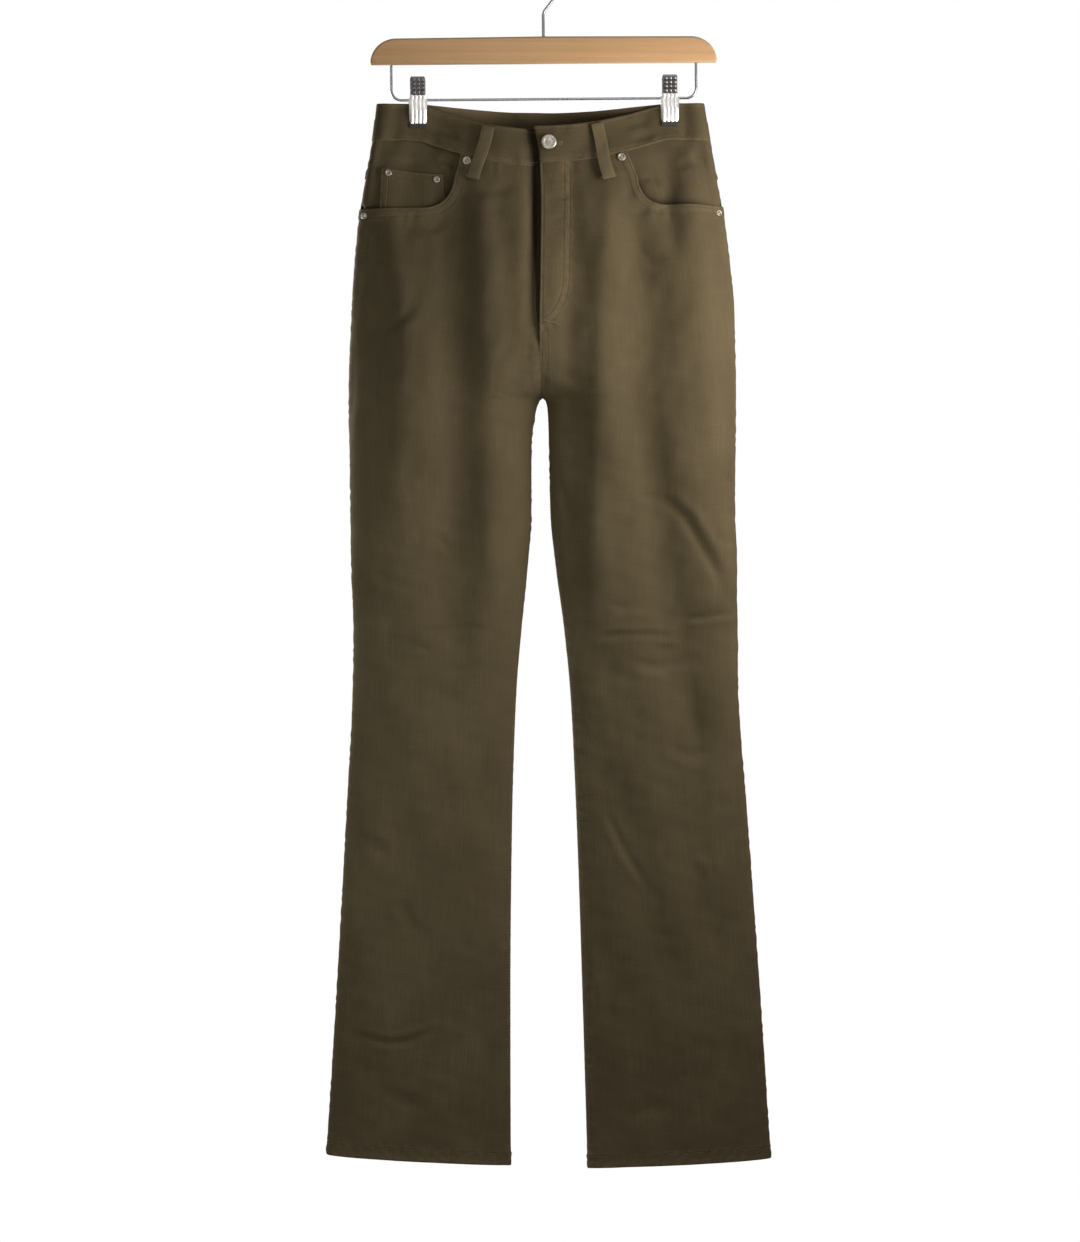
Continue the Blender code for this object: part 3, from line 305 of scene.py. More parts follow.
@dataclass
class HangingForm:
    """The surface on which every cloth piece lies, clipped flat at the waist and full at the hips.

    A section is an ellipse for each leg, which opens above the crotch into the oval of the hips. Angles run
    round a section from the side seam.
    """

    waist_drop: float = 149.4
    crotch: float = 317.5
    seam_gap: float = 0.3
    band_height: float = 38.0
    power: float = 0.9
    hip_formed: float = 190.0
    ear_depth: float = 8.0
    ear_round: float = 9.0
    ear_run: tuple[float, float] = (9.0, 25.0)
    mouth_run: tuple[float, float] = (58.0, 94.0)
    mouth_depth: dict = field(default_factory=lambda: {F: 15.0, B: 22.0})
    clipped: float = 2.75
    released: float = 9.5
    release_run: tuple[float, float] = (27.0, 60.0)
    least_depth: float = 6.4
    rise: dict = field(default_factory=lambda: {F: 140.0, B: 165.0})
    fly_lead: float = 24.0
    hem: dict = field(default_factory=lambda: {R: (1133.0, 1145.0), L: (1137.0, 1148.0)})
    yoke_side: float = 80.0
    yoke_centre: float = 118.0

    def __post_init__(self) -> None:
        """Reads the tables into curves."""
        drops = [row.drop for row in SECTIONS]
        self.columns = {
            name: Smooth(drops, [getattr(row, name) for row in SECTIONS]) for name in Section._fields[1:]
        }
        self.fly_edge = Smooth([r.drop for r in FLY], [r.edge for r in FLY])
        self.fly_depth = Smooth([r.drop for r in FLY], [r.dip for r in FLY])
        self.fold_lines = {fold: centre_line(fold) for fold in FOLDS}
        self.arcs = {(face, leg): Arcs(self, face, leg) for face in Face for leg in Leg}

    def outer_x(self, leg: Leg, drop: Array) -> Array:
        """The side seam's distance from the centre line."""
        return self.columns["right_out" if leg == R else "left_out"](drop)

    def inner_x(self, face: Face, leg: Leg, drop: Array) -> Array:
        """A panel's other edge: the inseam below the crotch, the centre seam or the zip seam above it."""
        below = self.columns["right_in" if leg == R else "left_in"](drop)
        centre = self.fly_edge(drop) if face == F else 0.0
        return np.where(drop < self.crotch, centre + leg * self.seam_gap / 2, below)

    def merging(self, face: Face, drop: Array) -> Array:
        """How far the two legs' ellipses have grown across the centre above the crotch."""
        return np.sin(math.pi / 2 * np.clip((self.crotch - drop) / self.rise[face], 0.0, 1.0))

    def half_width(self, face: Face, leg: Leg, drop: Array) -> Array:
        """Half the width of the ellipse that a section is a part of."""
        span = np.abs(self.outer_x(leg, drop) - self.inner_x(face, leg, drop))
        return span * (1.0 + self.merging(face, drop)) / 2.0

    def x_at(self, face: Face, leg: Leg, angle: Array, drop: Array) -> Array:
        """The distance from the centre line at an angle."""
        return self.outer_x(leg, drop) - leg * self.half_width(face, leg, drop) * (1.0 - np.cos(angle))

    def angle_at(self, face: Face, leg: Leg, x: Array, drop: Array) -> Array:
        """The angle at a distance from the centre line."""
        share = np.abs(self.outer_x(leg, drop) - x) / self.half_width(face, leg, drop)
        return np.arccos(np.clip(1.0 - share, -1.0, 1.0))

    def waist_depth(self, face: Face, from_side: Array, drop: Array) -> Array:
        """How far the clipped waist stands from the middle plane."""
        let_go, free = self.release_run
        held = self.clipped + (self.released - self.clipped) * ease((drop - let_go) / (free - let_go))
        rounded = np.sqrt(1.0 - (1.0 - np.clip(from_side / self.ear_round, 0.0, 1.0)) ** 2)
        start, end = self.ear_run
        ear = held + (self.ear_depth - held) * (1.0 - ease((from_side - start) / (end - start)))
        mouth = (self.mouth_depth[face] - held) * ease((from_side - self.mouth_run[0]) / self.mouth_run[1])
        return rounded * ear + mouth

    def fold_depth(self, face: Face, leg: Leg, x: Array, drop: Array) -> Array:
        """The long folds' depth, which fades out at both ends of each."""
        total = np.zeros(np.broadcast(x, drop).shape)
        for fold, line in self.fold_lines.items():
            if (fold.face, fold.leg) == (face, leg):
                total = total + fold.depth * fading(fold, drop) * bell(x - line(drop), fold.half_width)
        return total

    def fly_dip(self, leg: Leg, x: Array, drop: Array) -> Array:
        """How far the wearer's right front sinks to pass under the fly."""
        if leg == L:
            return np.zeros(np.broadcast(x, drop).shape)
        return self.fly_depth(drop) * ease((x - self.fly_edge(drop) + self.fly_lead) / (self.fly_lead - 3.0))

    def points(self, face: Face, leg: Leg, angle: Array, drop: Array, folded: bool = True) -> Array:
        """Points of the surface at an angle round the section and a drop."""
        width = self.half_width(face, leg, drop)
        from_side = width * (1.0 - np.cos(angle))
        x = self.outer_x(leg, drop) - leg * from_side
        round_out = np.clip(np.sin(angle), 0, 1) ** self.power
        hip = self.columns["front" if face == F else "back"](drop) * round_out
        formed = ease((drop - self.band_height / 2) / (self.hip_formed - self.band_height / 2))
        waist = self.waist_depth(face, from_side, drop)
        depth = waist + (hip - waist) * formed
        if folded:
            calm = ease(np.clip(np.sin(angle), 0.0, 1.0) / 0.5)
            room = np.maximum(depth - self.least_depth, 0.0) + 1e-6
            pressed = self.fold_depth(face, leg, x, drop) * calm
            pressed = np.where(pressed > 0, room * (1.0 - np.exp(-np.maximum(pressed, 0) / room)), pressed)
            depth = depth - pressed
            if face == F:
                depth = depth - self.fly_dip(leg, x, drop)
        return np.stack([x, face * depth, -self.waist_drop - np.broadcast_to(drop, x.shape)], axis=-1)

    def normals(self, face: Face, leg: Leg, angle: Array, drop: Array) -> Array:
        """Outward unit normals of the surface."""
        across = self.points(face, leg, angle + 0.004, drop) - self.points(face, leg, angle - 0.004, drop)
        down = self.points(face, leg, angle, drop + 0.4) - self.points(face, leg, angle, drop - 0.4)
        out = np.cross(across, down) * -(face * leg)
        return out / np.maximum(np.linalg.norm(out, axis=-1, keepdims=True), 1e-9)

    def band_top(self, face: Face, leg: Leg, x: Array) -> Array:
        """The drop of the waistband's top edge."""
        sag = BAND_SAG[face, leg]
        return sag.edge + sag.centre * np.clip(1.0 - (x / sag.half_span) ** 2, 0.0, 1.0) ** 1.15

    def band_seam(self, face: Face, leg: Leg, x: Array) -> Array:
        """The drop of the seam under the waistband."""
        return self.band_top(face, leg, x) + self.band_height

    def yoke_seam(self, leg: Leg, x: Array) -> Array:
        """The drop of the seam between the yoke and the back leg."""
        share = np.clip(np.abs(x / self.outer_x(leg, self.yoke_centre)), 0.0, 1.0)
        return self.yoke_centre + (self.yoke_side - self.yoke_centre) * share

    def hem_edge(self, leg: Leg, x: Array) -> Array:
        """The drop of the hem."""
        outer, inner = self.hem[leg]
        side = self.outer_x(leg, outer)
        share = np.abs(side - x) / np.abs(side - self.inner_x(B, leg, outer))
        return outer + (inner - outer) * np.clip(share, 0.0, 1.0) ** 0.7


class Arcs:
    """Lengths along the sections of one panel, from its side seam."""

    STEPS = 160

    def __init__(self, form: HangingForm, face: Face, leg: Leg) -> None:
        """Measures the sections once, level by level."""
        self.form, self.face, self.leg = form, face, leg
        above, near = np.arange(-12.0, 300.0, 6.0), np.arange(300.0, 345.0, 1.5)
        self.drops = np.unique(np.concatenate([above, near, np.arange(345.0, 1175.0, 8.0)]))
        turn = np.linspace(0.0, 1.0, self.STEPS + 1)
        drop = np.repeat(self.drops[:, None], len(turn), axis=1)
        angle = self._angle_of_turn(turn[None, :], drop)
        line = form.points(face, leg, angle, drop, folded=False)[..., :2]
        step = np.linalg.norm(np.diff(line, axis=1), axis=-1)
        self.length = np.concatenate([np.zeros((len(self.drops), 1)), np.cumsum(step, axis=1)], axis=1)
        self.total = self.length[:, -1]
        self.turns = np.array([np.interp(turn, row / row[-1], turn) for row in self.length])

    def _angle_of_turn(self, turn: Array, drop: Array) -> Array:
        """The angle for a share of half a turn, which spreads evenly over a whole leg."""
        share = (1.0 - np.cos(math.pi * turn)) / 2.0
        return np.arccos(np.clip(1.0 - 2.0 * share / (1.0 + self.form.merging(self.face, drop)), -1.0, 1.0))

    def _read(self, table: Array, share: Array, drop: Array) -> Array:
        """A value between the entries of a table by drop and share."""
        i = np.clip(np.searchsorted(self.drops, drop, side="right") - 1, 0, len(self.drops) - 2)
        t = np.clip((drop - self.drops[i]) / (self.drops[i + 1] - self.drops[i]), 0.0, 1.0)
        place = np.clip(share, 0.0, 1.0) * self.STEPS
        j = np.clip(place.astype(int), 0, self.STEPS - 1)
        s = place - j
        upper = table[i, j] * (1 - s) + table[i, j + 1] * s
        lower = table[i + 1, j] * (1 - s) + table[i + 1, j + 1] * s
        return upper * (1 - t) + lower * t

    def width(self, drop: Array) -> Array:
        """The whole length of the section."""
        return np.interp(drop, self.drops, self.total)

    def run(self, angle: Array, drop: Array) -> Array:
        """The length from the side seam to an angle."""
        share = (1.0 - np.cos(angle)) * (1.0 + self.form.merging(self.face, drop)) / 2.0
        turn = np.arccos(np.clip(1.0 - 2.0 * share, -1.0, 1.0)) / math.pi
        return self._read(self.length, turn, drop)

    def angle(self, run: Array, drop: Array) -> Array:
        """The angle at a length from the side seam."""
        return self._angle_of_turn(self._read(self.turns, run / self.width(drop), drop), drop)


# ------------ creases and puckers
@dataclass(frozen=True)
class Crease:
    """A small crease pressed into the cloth along a path of x and drop. A lip is a raised edge beside it."""

    face: Face
    leg: Leg
    path: tuple[tuple[float, float], ...]
    width: float
    depth: float
    lip: float = 0.0

    def lift(self, x: Array, drop: Array) -> Array:
        """How far the crease moves the cloth out at each point."""
        corners = np.array(self.path)
        reach = 4.0 * self.width
        low, high = corners.min(axis=0) - reach, corners.max(axis=0) + reach
        inside = (x > low[0]) & (x < high[0]) & (drop > low[1]) & (drop < high[1])
        total = np.zeros(x.shape)
        if inside.any():
            away, along = polyline_distance(corners, x[inside], drop[inside])
            taper = ease(np.minimum(along, 1.0 - along) / 0.35)
            side = math.copysign(1.0, self.lip)
            ridge = abs(self.lip) * bell(side * away - 1.7 * self.width, self.width)
            total[inside] = taper * (ridge - self.depth * bell(away, self.width))
        return total


CREASES = (
    # the wearer's right leg, front
    Crease(F, R, ((-136, 239), (-119, 244), (-99, 249)), 3.2, 1.5, -0.7),
    Crease(F, R, ((-174, 248), (-160, 241), (-145, 227), (-138, 214)), 6.0, 2.2, 1.0),
    Crease(F, R, ((-150, 565), (-122, 569), (-95, 567), (-68, 566), (-44, 570)), 3.0, 1.1, -0.5),
    Crease(F, R, ((-136, 588), (-120, 590)), 3.0, 1.6, 0.4),
    Crease(F, R, ((-112, 466), (-104, 478), (-99, 488)), 3.6, 1.6, 0.6),
    Crease(
        F, R, ((-219, 1001), (-192, 1007), (-166, 1013), (-148, 1012), (-128, 1004), (-105, 1000)),
        4.0, 2.6, -1.2,
    ),
    Crease(F, R, ((-190, 796), (-176, 805), (-164, 817)), 8.0, 2.2, 0.6),
    Crease(F, R, ((-158, 858), (-146, 876), (-137, 898)), 7.0, 2.2, 0.7),
    Crease(F, R, ((-58, 1000), (-57, 1050), (-64, 1112)), 7.0, 3.2, 1.2),
    Crease(F, R, ((-170, 1060), (-150, 1078), (-120, 1084)), 9.0, 1.8),
    Crease(F, R, ((-196, 640), (-170, 672), (-150, 720)), 14.0, 2.2),
    Crease(F, R, ((-60, 690), (-66, 740), (-58, 800)), 12.0, 1.8),
    Crease(F, R, ((-124, 23), (-108, 30), (-86, 40)), 4.0, 2.2, 0.9),
    Crease(F, R, ((-126, 10), (-104, 19), (-70, 26)), 5.0, 1.6, 0.6),
    Crease(F, R, ((-114, 58), (-103, 63), (-92, 71)), 3.4, 2.0, 0.8),
    Crease(F, R, ((-180, 128), (-168, 190), (-172, 300), (-180, 400)), 17.0, 4.0),
    Crease(F, R, ((-30, 84), (-26, 150), (-22, 230)), 13.0, -2.6),
    Crease(F, R, ((-74, 120), (-60, 190), (-44, 280)), 14.0, 1.6),
    # the wearer's left leg, front
    Crease(F, L, ((120, 424), (138, 432), (154, 447), (170, 476), (184, 506), (192, 540)), 5.5, 4.2, -2.0),
    Crease(F, L, ((100, 426), (124, 425)), 3.0, 1.2),
    Crease(F, L, ((50, 577), (84, 573), (118, 573), (148, 577)), 3.2, 2.0, -1.0),
    Crease(F, L, ((120, 583), (150, 580)), 4.0, -1.6),
    Crease(F, L, ((144, 556), (172, 555), (208, 549)), 3.4, 1.8, 0.8),
    Crease(F, L, ((62, 752), (79, 787), (90, 809), (108, 838), (120, 858)), 4.6, 2.4, 0.9),
    Crease(F, L, ((165, 806), (178, 832), (184, 850)), 5.0, -1.6),
    Crease(F, L, ((10, 372), (16, 410), (31, 462)), 5.0, 2.2, 0.8),
    Crease(F, L, ((14, 345), (24, 366), (36, 380)), 4.0, 1.2),
    Crease(F, L, ((188, 407), (207, 409)), 3.6, 1.5, 0.5),
    Crease(F, L, ((190, 440), (207, 446)), 3.6, 1.2, 0.5),
    Crease(F, L, ((180, 470), (206, 476)), 5.0, 1.3),
    Crease(F, L, ((2, 101), (14, 103), (30, 102)), 2.6, 1.2, -0.5),
    Crease(F, L, ((4, 83), (24, 84)), 2.6, 0.9, 0.4),
    Crease(F, L, ((6, 128), (26, 126)), 3.0, 0.9, 0.4),
    Crease(F, L, ((4, 160), (24, 163)), 3.0, 0.8),
    Crease(F, L, ((8, 196), (28, 192)), 3.0, 0.9, 0.4),
    Crease(F, L, ((159, 48), (168, 60), (180, 76)), 4.6, 1.8, 0.8),
    Crease(F, L, ((100, 82), (116, 80), (130, 88)), 4.0, 2.4, 0.8),
    Crease(F, L, ((84, 25), (100, 22), (118, 18)), 4.4, 1.8, 0.7),
    Crease(F, L, ((92, 38), (112, 37), (126, 30)), 4.0, 1.4, 0.5),
    Crease(F, L, ((150, 610), (170, 700), (172, 780)), 11.0, 2.0),
    Crease(F, L, ((60, 900), (76, 950), (70, 1020)), 12.0, 1.8),
    Crease(F, L, ((190, 930), (200, 1000), (214, 1070)), 13.0, 2.0),
    Crease(F, L, ((84, 1100), (110, 1085), (150, 1090)), 8.0, 1.4),
    Crease(F, L, ((104, 168), (122, 177), (150, 180)), 4.0, 1.6, -0.7),
    Crease(F, L, ((98, 155), (112, 166), (138, 171)), 3.6, 1.4, -0.5),
    Crease(F, L, ((100, 112), (120, 116), (144, 114)), 4.0, 1.4, 0.5),
    Crease(F, L, ((104, 99), (128, 103), (150, 98)), 4.4, 1.5, 0.5),
    Crease(F, L, ((140, 70), (160, 64), (176, 66)), 5.0, 1.4, 0.5),
    Crease(F, R, ((-150, 132), (-120, 137), (-98, 128)), 5.0, 1.4, 0.5),
    Crease(F, R, ((-182, 60), (-150, 66), (-124, 62)), 5.0, 1.2, 0.4),
    Crease(F, R, ((-72, 92), (-52, 96), (-30, 92)), 6.0, 1.4, 0.5),
    Crease(F, R, ((-26, 262), (-50, 276), (-80, 280)), 6.0, 1.6, -0.6),
    Crease(F, R, ((-16, 300), (-34, 306), (-56, 322)), 5.0, 1.5, 0.6),
    Crease(F, R, ((-186, 500), (-168, 516), (-140, 520)), 6.0, 1.4, 0.5),
    Crease(F, R, ((-60, 600), (-84, 612), (-112, 610)), 5.0, 1.2, 0.5),
    Crease(F, L, ((14, 290), (34, 300), (60, 300)), 6.0, 1.5, 0.6),
    Crease(F, L, ((66, 540), (90, 546), (112, 540)), 5.0, 1.2, 0.5),
    Crease(F, L, ((88, 600), (120, 608), (160, 602)), 6.0, 1.5, 0.5),
    Crease(F, L, ((130, 690), (156, 702), (190, 696)), 7.0, 1.4, 0.5),
    # backs
    Crease(B, R, ((-30, 330), (-70, 344), (-120, 340), (-168, 322)), 6.0, 2.2, 0.9),
    Crease(B, R, ((-24, 350), (-60, 372), (-110, 376)), 6.0, 1.8, 0.7),
    Crease(B, R, ((-60, 560), (-104, 572), (-160, 564)), 6.0, 2.2, -0.9),
    Crease(B, R, ((-70, 592), (-120, 600), (-176, 590)), 5.0, 1.6, 0.6),
    Crease(B, R, ((-84, 618), (-130, 622)), 5.0, 1.3),
    Crease(B, R, ((-90, 820), (-120, 860), (-130, 910)), 8.0, 1.8),
    Crease(B, R, ((-170, 1020), (-140, 1030), (-100, 1022)), 6.0, 1.5, 0.5),
    Crease(B, R, ((-70, 286), (-96, 300), (-130, 304)), 10.0, 2.0),
    Crease(B, L, ((28, 326), (64, 342), (112, 344), (160, 330)), 6.0, 2.2, -0.9),
    Crease(B, L, ((26, 352), (66, 368), (120, 366)), 6.0, 1.6, -0.6),
    Crease(B, L, ((64, 548), (110, 562), (168, 556)), 6.0, 2.1, 0.8),
    Crease(B, L, ((80, 580), (124, 590), (182, 580)), 5.0, 1.7, -0.6),
    Crease(B, L, ((96, 612), (140, 616)), 5.0, 1.3),
    Crease(B, L, ((100, 790), (130, 830), (136, 890)), 8.0, 1.8),
    Crease(B, L, ((120, 1000), (160, 1012), (200, 1004)), 6.0, 1.5, -0.5),
    Crease(B, L, ((60, 288), (100, 302), (136, 300)), 10.0, 2.0),
    Crease(B, R, ((-120, 18), (-100, 26), (-70, 32)), 5.0, 1.6, 0.6),
    Crease(B, L, ((118, 16), (96, 25), (68, 30)), 5.0, 1.6, -0.6),
)


class Unrest:
    """Slow uneven waves over the cloth, the same in every run."""

    COUNT = 8  # waves of each size

    def __init__(self, seed: int, octaves: Sequence[tuple[float, float, float]]) -> None:
        """Draws the waves.

        Args:
            seed: Fixes the draw.
            octaves: Each size of wave: its length, height, and how upright its crests are, from 0 to 1.
        """
        draw = np.random.default_rng(seed)
        self.waves = []
        for length, height, upright in octaves:
            heading = draw.uniform(-math.pi / 2, math.pi / 2, self.COUNT) * (1.0 - upright)
            size = 2 * math.pi / (length * draw.uniform(0.7, 1.5, self.COUNT))
            start = draw.uniform(0, 6.28, self.COUNT)
            heights = [height / math.sqrt(self.COUNT / 2)] * self.COUNT
            self.waves += list(zip(size * np.cos(heading), size * np.sin(heading), start, heights))

    def __call__(self, x: Array, drop: Array) -> Array:
        """The height of all the waves together."""
        total = np.zeros(np.broadcast(x, drop).shape)
        for along_x, along_drop, start, height in self.waves:
            total += height * np.cos(along_x * x + along_drop * drop + start)
        return total


def pucker(along: Array, seed: float, period: float = 12.0) -> Array:
    """An irregular ripple along a seam."""
    turns = along * 2 * math.pi
    swing = 1.5 * np.sin(turns / 53.0 + seed) + 0.9 * np.sin(turns / 29.0 + 2.1 * seed)
    force = 0.62 + 0.38 * np.sin(turns / 91.0 + 1.7 * seed)
    return force * np.sin(turns / period + swing)


class Outline(NamedTuple):
    """The pocket mouth: its x at the waistband, its lean, its level at the side, and its corner's radius."""

    top_x: float
    lean: float
    level: float
    corner: float


SCOOPS = {R: Outline(-88.0, 7.0, 114.5, 34.0), L: Outline(91.0, 11.0, 111.5, 30.0)}


def scoop_path(leg: Leg) -> Array:
    """The pocket mouth's edge in x and drop, from above the waistband round to past the side seam."""
    scoop = SCOOPS[leg]
    foot = scoop.top_x + leg * scoop.lean
    corner = (foot + leg * scoop.corner, scoop.level - scoop.corner)
    bend = arc_points(corner, (-leg * scoop.corner, scoop.corner), 0, 90, 14)
    start = [(scoop.top_x - leg * 6.0, -10.0), (scoop.top_x, 54.0)]
    return np.array([*start, *bend, (leg * 236.0, scoop.level + 1.0)])


def mouth_row(form: HangingForm, leg: Leg, away: float) -> Array:
    """A row beside the pocket mouth's edge, from the waistband's seam to the side seam."""
    path = scoop_path(leg)
    lengths = np.concatenate([[0.0], np.cumsum(np.hypot(*np.diff(path, axis=0).T))])
    at = np.arange(0.0, lengths[-1], 2.0)
    line = np.stack([np.interp(at, lengths, path[:, k]) for k in (0, 1)], axis=1)
    way = np.gradient(line, axis=0)
    way /= np.linalg.norm(way, axis=1, keepdims=True)
    line = line + np.stack([-way[:, 1], way[:, 0]], axis=1) * away * leg
    inside = line[:, 1] > form.band_seam(F, leg, line[:, 0]) + 1.0
    return line[inside & (np.abs(line[:, 0]) < np.abs(form.outer_x(leg, line[:, 1])) - 1.5)]


def placket_path() -> Array:
    """The curved stitching of the fly in x and drop, from the waistband down to the fly's edge."""
    return np.array([(29.5, 40.0), (29.0, 110.0), *arc_points((-3.0, 186.0), (31.0, 54.0), 0, 90, 12)])


NO_SEAM = 40.0  # stands for the distance to a row of stitches where there is none
ROWS = (2.2, 8.5)  # how far the two rows of a felled seam lie from its edge
PAIR_MIDDLE, PAIR_HALF = 5.35, 3.15  # the middle between them, and each row's distance from it
HEM_ROW = 11.8  # how far the hem's row lies above the hem
FLY_END = 246.0
THREAD_LIFT = 0.12


@dataclass
class ClothSurface:
    """The hanging surface with its creases, seams and ripples."""

    form: HangingForm
    waves: Unrest = field(
        default_factory=lambda: Unrest(11, ((150.0, 1.1, 0.75), (64.0, 0.55, 0.5), (27.0, 0.2, 0.1)))
    )
    fell: float = 9.5
    hem_height: float = 13.0

    def quiet(self, face: Face, leg: Leg, angle: Array, drop: Array) -> tuple[Array, Array, Array]:
        """Where the cloth is calm: lengths from both edges, and a factor that is 0 at the seams."""
        run = self.form.arcs[face, leg].run(angle, drop)
        rest = np.maximum(self.form.arcs[face, leg].width(drop) - run, 0.0)
        return run, rest, ease(run / 14.0) * ease(rest / 14.0)

    def creased(self, face: Face, leg: Leg, x: Array, drop: Array) -> Array:
        """The lift of creases and slow waves alone."""
        total = self.waves(x + 600.0 * face, drop)
        for drape in DRAPES:
            if (drape.face, drape.leg) == (face, leg):
                away = x - centre_line(drape)(drop)
                across = np.where(away < 0, bell(away, drape.left), bell(away, drape.right))
                total = total + drape.height * fading(drape, drop) * across
        for crease in CREASES:
            if (crease.face, crease.leg) == (face, leg):
                total = total + crease.lift(x, drop)
        return total

    def side_seam(self, leg: Leg, run: Array, drop: Array) -> Array:
        """The lift of the pressed-open side seam, the same on both panels."""
        ripple = 0.45 * pucker(drop, 1.3 * leg, 15.0) * bell(run - 3.0, 6.0)
        return ripple + 0.22 * (1.0 - ease((run - 9.0) / 3.0))

    def inseam(self, leg: Leg, rest: Array, drop: Array) -> Array:
        """The lift of the felled seam inside a leg or along the centre."""
        ripple = 0.62 * pucker(drop, 2.2 + leg, 13.0) * bell(rest - 9.5, 5.5)
        return ripple + 0.55 * (1.0 - ease((rest - self.fell + 1.0) / 3.0))

    def fly_shade(self, x: Array, drop: Array) -> Array:
        """How far the cloth lies in the shadow beside the fly's free edge, from 0 to 1. The material paints
        shade there, darkening the cloth nearly to black.
        """
        width = 3.0 + 6.5 * (1.0 - ease((drop - 120.0) / 130.0))
        return ease((x - self.form.fly_edge(drop) + width + 1.5) / 3.0) * (1.0 - ease((drop - 225.0) / 60.0))

    def panel_lift(self, face: Face, leg: Leg, angle: Array, drop: Array) -> Array:
        """The lift of a leg panel or yoke, with its seams, pocket mouth, fly and hem."""
        form = self.form
        x = form.x_at(face, leg, angle, drop)
        run, rest, calm = self.quiet(face, leg, angle, drop)
        total = calm * self.creased(face, leg, x, drop) + self.side_seam(leg, run, drop)
        if face == F:
            centre = np.where(drop > FLY_END, 1.0, 0.0) if leg == L else ease((drop - 236.0) / 30.0)
        else:
            centre = np.ones(drop.shape) * (1.0 if leg == L else 0.4)
        centre = np.where(drop > form.crotch, 1.0, centre)
        total = total + centre * self.inseam(leg, rest, drop)

        below = drop - form.band_seam(face, leg, x)
        total = total + 0.5 * pucker(x, 0.4 + face, 17.0) * bell(below - 7.0, 9.0)
        above = form.hem_edge(leg, x) - drop
        roping = np.sin(run * 2 * math.pi / 12.5 + 0.42 * above + 1.8 * np.sin(run / 31.0))
        hem = 1.0 - ease((above - self.hem_height + 1.0) / 2.5)
        total = total + hem * (0.5 + 0.34 * roping * ease(above / 5.0))
        total = total + 0.25 * roping * bell(above - 15.0, 5.0)
        if face == F:
            away, along = polyline_distance(scoop_path(leg), x, drop)
            away = away * leg
            edge = (away > -3.0) & (drop > 40.0)
            stand = 1.7 * bell(away, 8.0) * ease((along - 0.25) / 0.2) * ease((0.97 - along) / 0.25)
            fold = 0.55 * (1.0 - ease((away - self.fell + 1.0) / 3.0))
            ripple = 0.62 * pucker(along * 190.0, 0.7 * leg, 12.0) * bell(away - 11.5, 5.5)
            total = total + np.where(edge, stand + fold + ripple, 0.0)
            if leg == L:
                away, along = polyline_distance(placket_path(), x, drop)
                inside = ease((away + 1.4) / 2.8)
                total = total + 0.7 * inside + 0.5 * pucker(along * 210.0, 0.2, 11.0) * bell(away + 3.5, 5.5)
        else:
            seam = drop - form.yoke_seam(leg, x)
            total = total + 0.5 * pucker(x, 0.9, 12.5) * bell(np.abs(seam) - 9.0, 5.5)
        return total

    def at(
        self, face: Face, leg: Leg, angle: Array, drop: Array, lift: Array = 0.0, panel: bool = True
    ) -> Array:
        """Points of the cloth.

        Args:
            face: Front or back.
            leg: The wearer's side.
            angle: Angles round the section.
            drop: Drops of the points.
            lift: How far they are moved out of the cloth.
            panel: Whether the panel's own seams are followed, or only its creases.

        Returns:
            The points, in millimetres.
        """
        angle, drop, lift = np.broadcast_arrays(np.asarray(angle, float), np.asarray(drop, float), lift)
        if panel:
            own = self.panel_lift(face, leg, angle, drop)
        else:
            calm = self.quiet(face, leg, angle, drop)[2]
            own = calm * self.creased(face, leg, self.form.x_at(face, leg, angle, drop), drop)
        out = self.form.normals(face, leg, angle, drop)
        return self.form.points(face, leg, angle, drop) + out * (own + lift)[..., None]

    def laid(
        self, face: Face, leg: Leg, x: Array, drop: Array, lift: Array = 0.0, panel: bool = True
    ) -> Array:
        """Points of the cloth by distance from the centre line."""
        x, drop = np.broadcast_arrays(np.asarray(x, float), np.asarray(drop, float))
        return self.at(face, leg, self.form.angle_at(face, leg, x, drop), drop, lift, panel)

    def facing_out(self, face: Face, leg: Leg, x: Array, drop: Array) -> Array:
        """Outward directions of the surface by distance from the centre line."""
        x, drop = np.broadcast_arrays(np.asarray(x, float), np.asarray(drop, float))
        return self.form.normals(face, leg, self.form.angle_at(face, leg, x, drop), drop)


# ------------ mesh helpers
def new_object(name: str, mesh: bpy.types.Mesh) -> Piece:
    """An object of that mesh in the scene."""
    made = bpy.data.objects.new(name, mesh)
    bpy.context.scene.collection.objects.link(made)
    return made


def grid_faces(rows: int, columns: int, flip: bool = False) -> Array:
    """Quads of a grid of points, row by row."""
    corner = np.arange(rows * columns).reshape(rows, columns)
    around = (corner[:-1, :-1], corner[:-1, 1:], corner[1:, 1:], corner[1:, :-1])
    quads = np.stack(around, axis=-1).reshape(-1, 4)
    return quads[:, ::-1] if flip else quads


def vertex_normals(points: Array, quads: Array) -> Array:
    """Unit normals at the points of a mesh of quads."""
    a, b, c, d = (points[quads[:, k]] for k in range(4))
    normal, total = np.cross(c - a, d - b), np.zeros_like(points)
    for k in range(4):
        np.add.at(total, quads[:, k], normal)
    return total / np.maximum(np.linalg.norm(total, axis=1, keepdims=True), 1e-12)


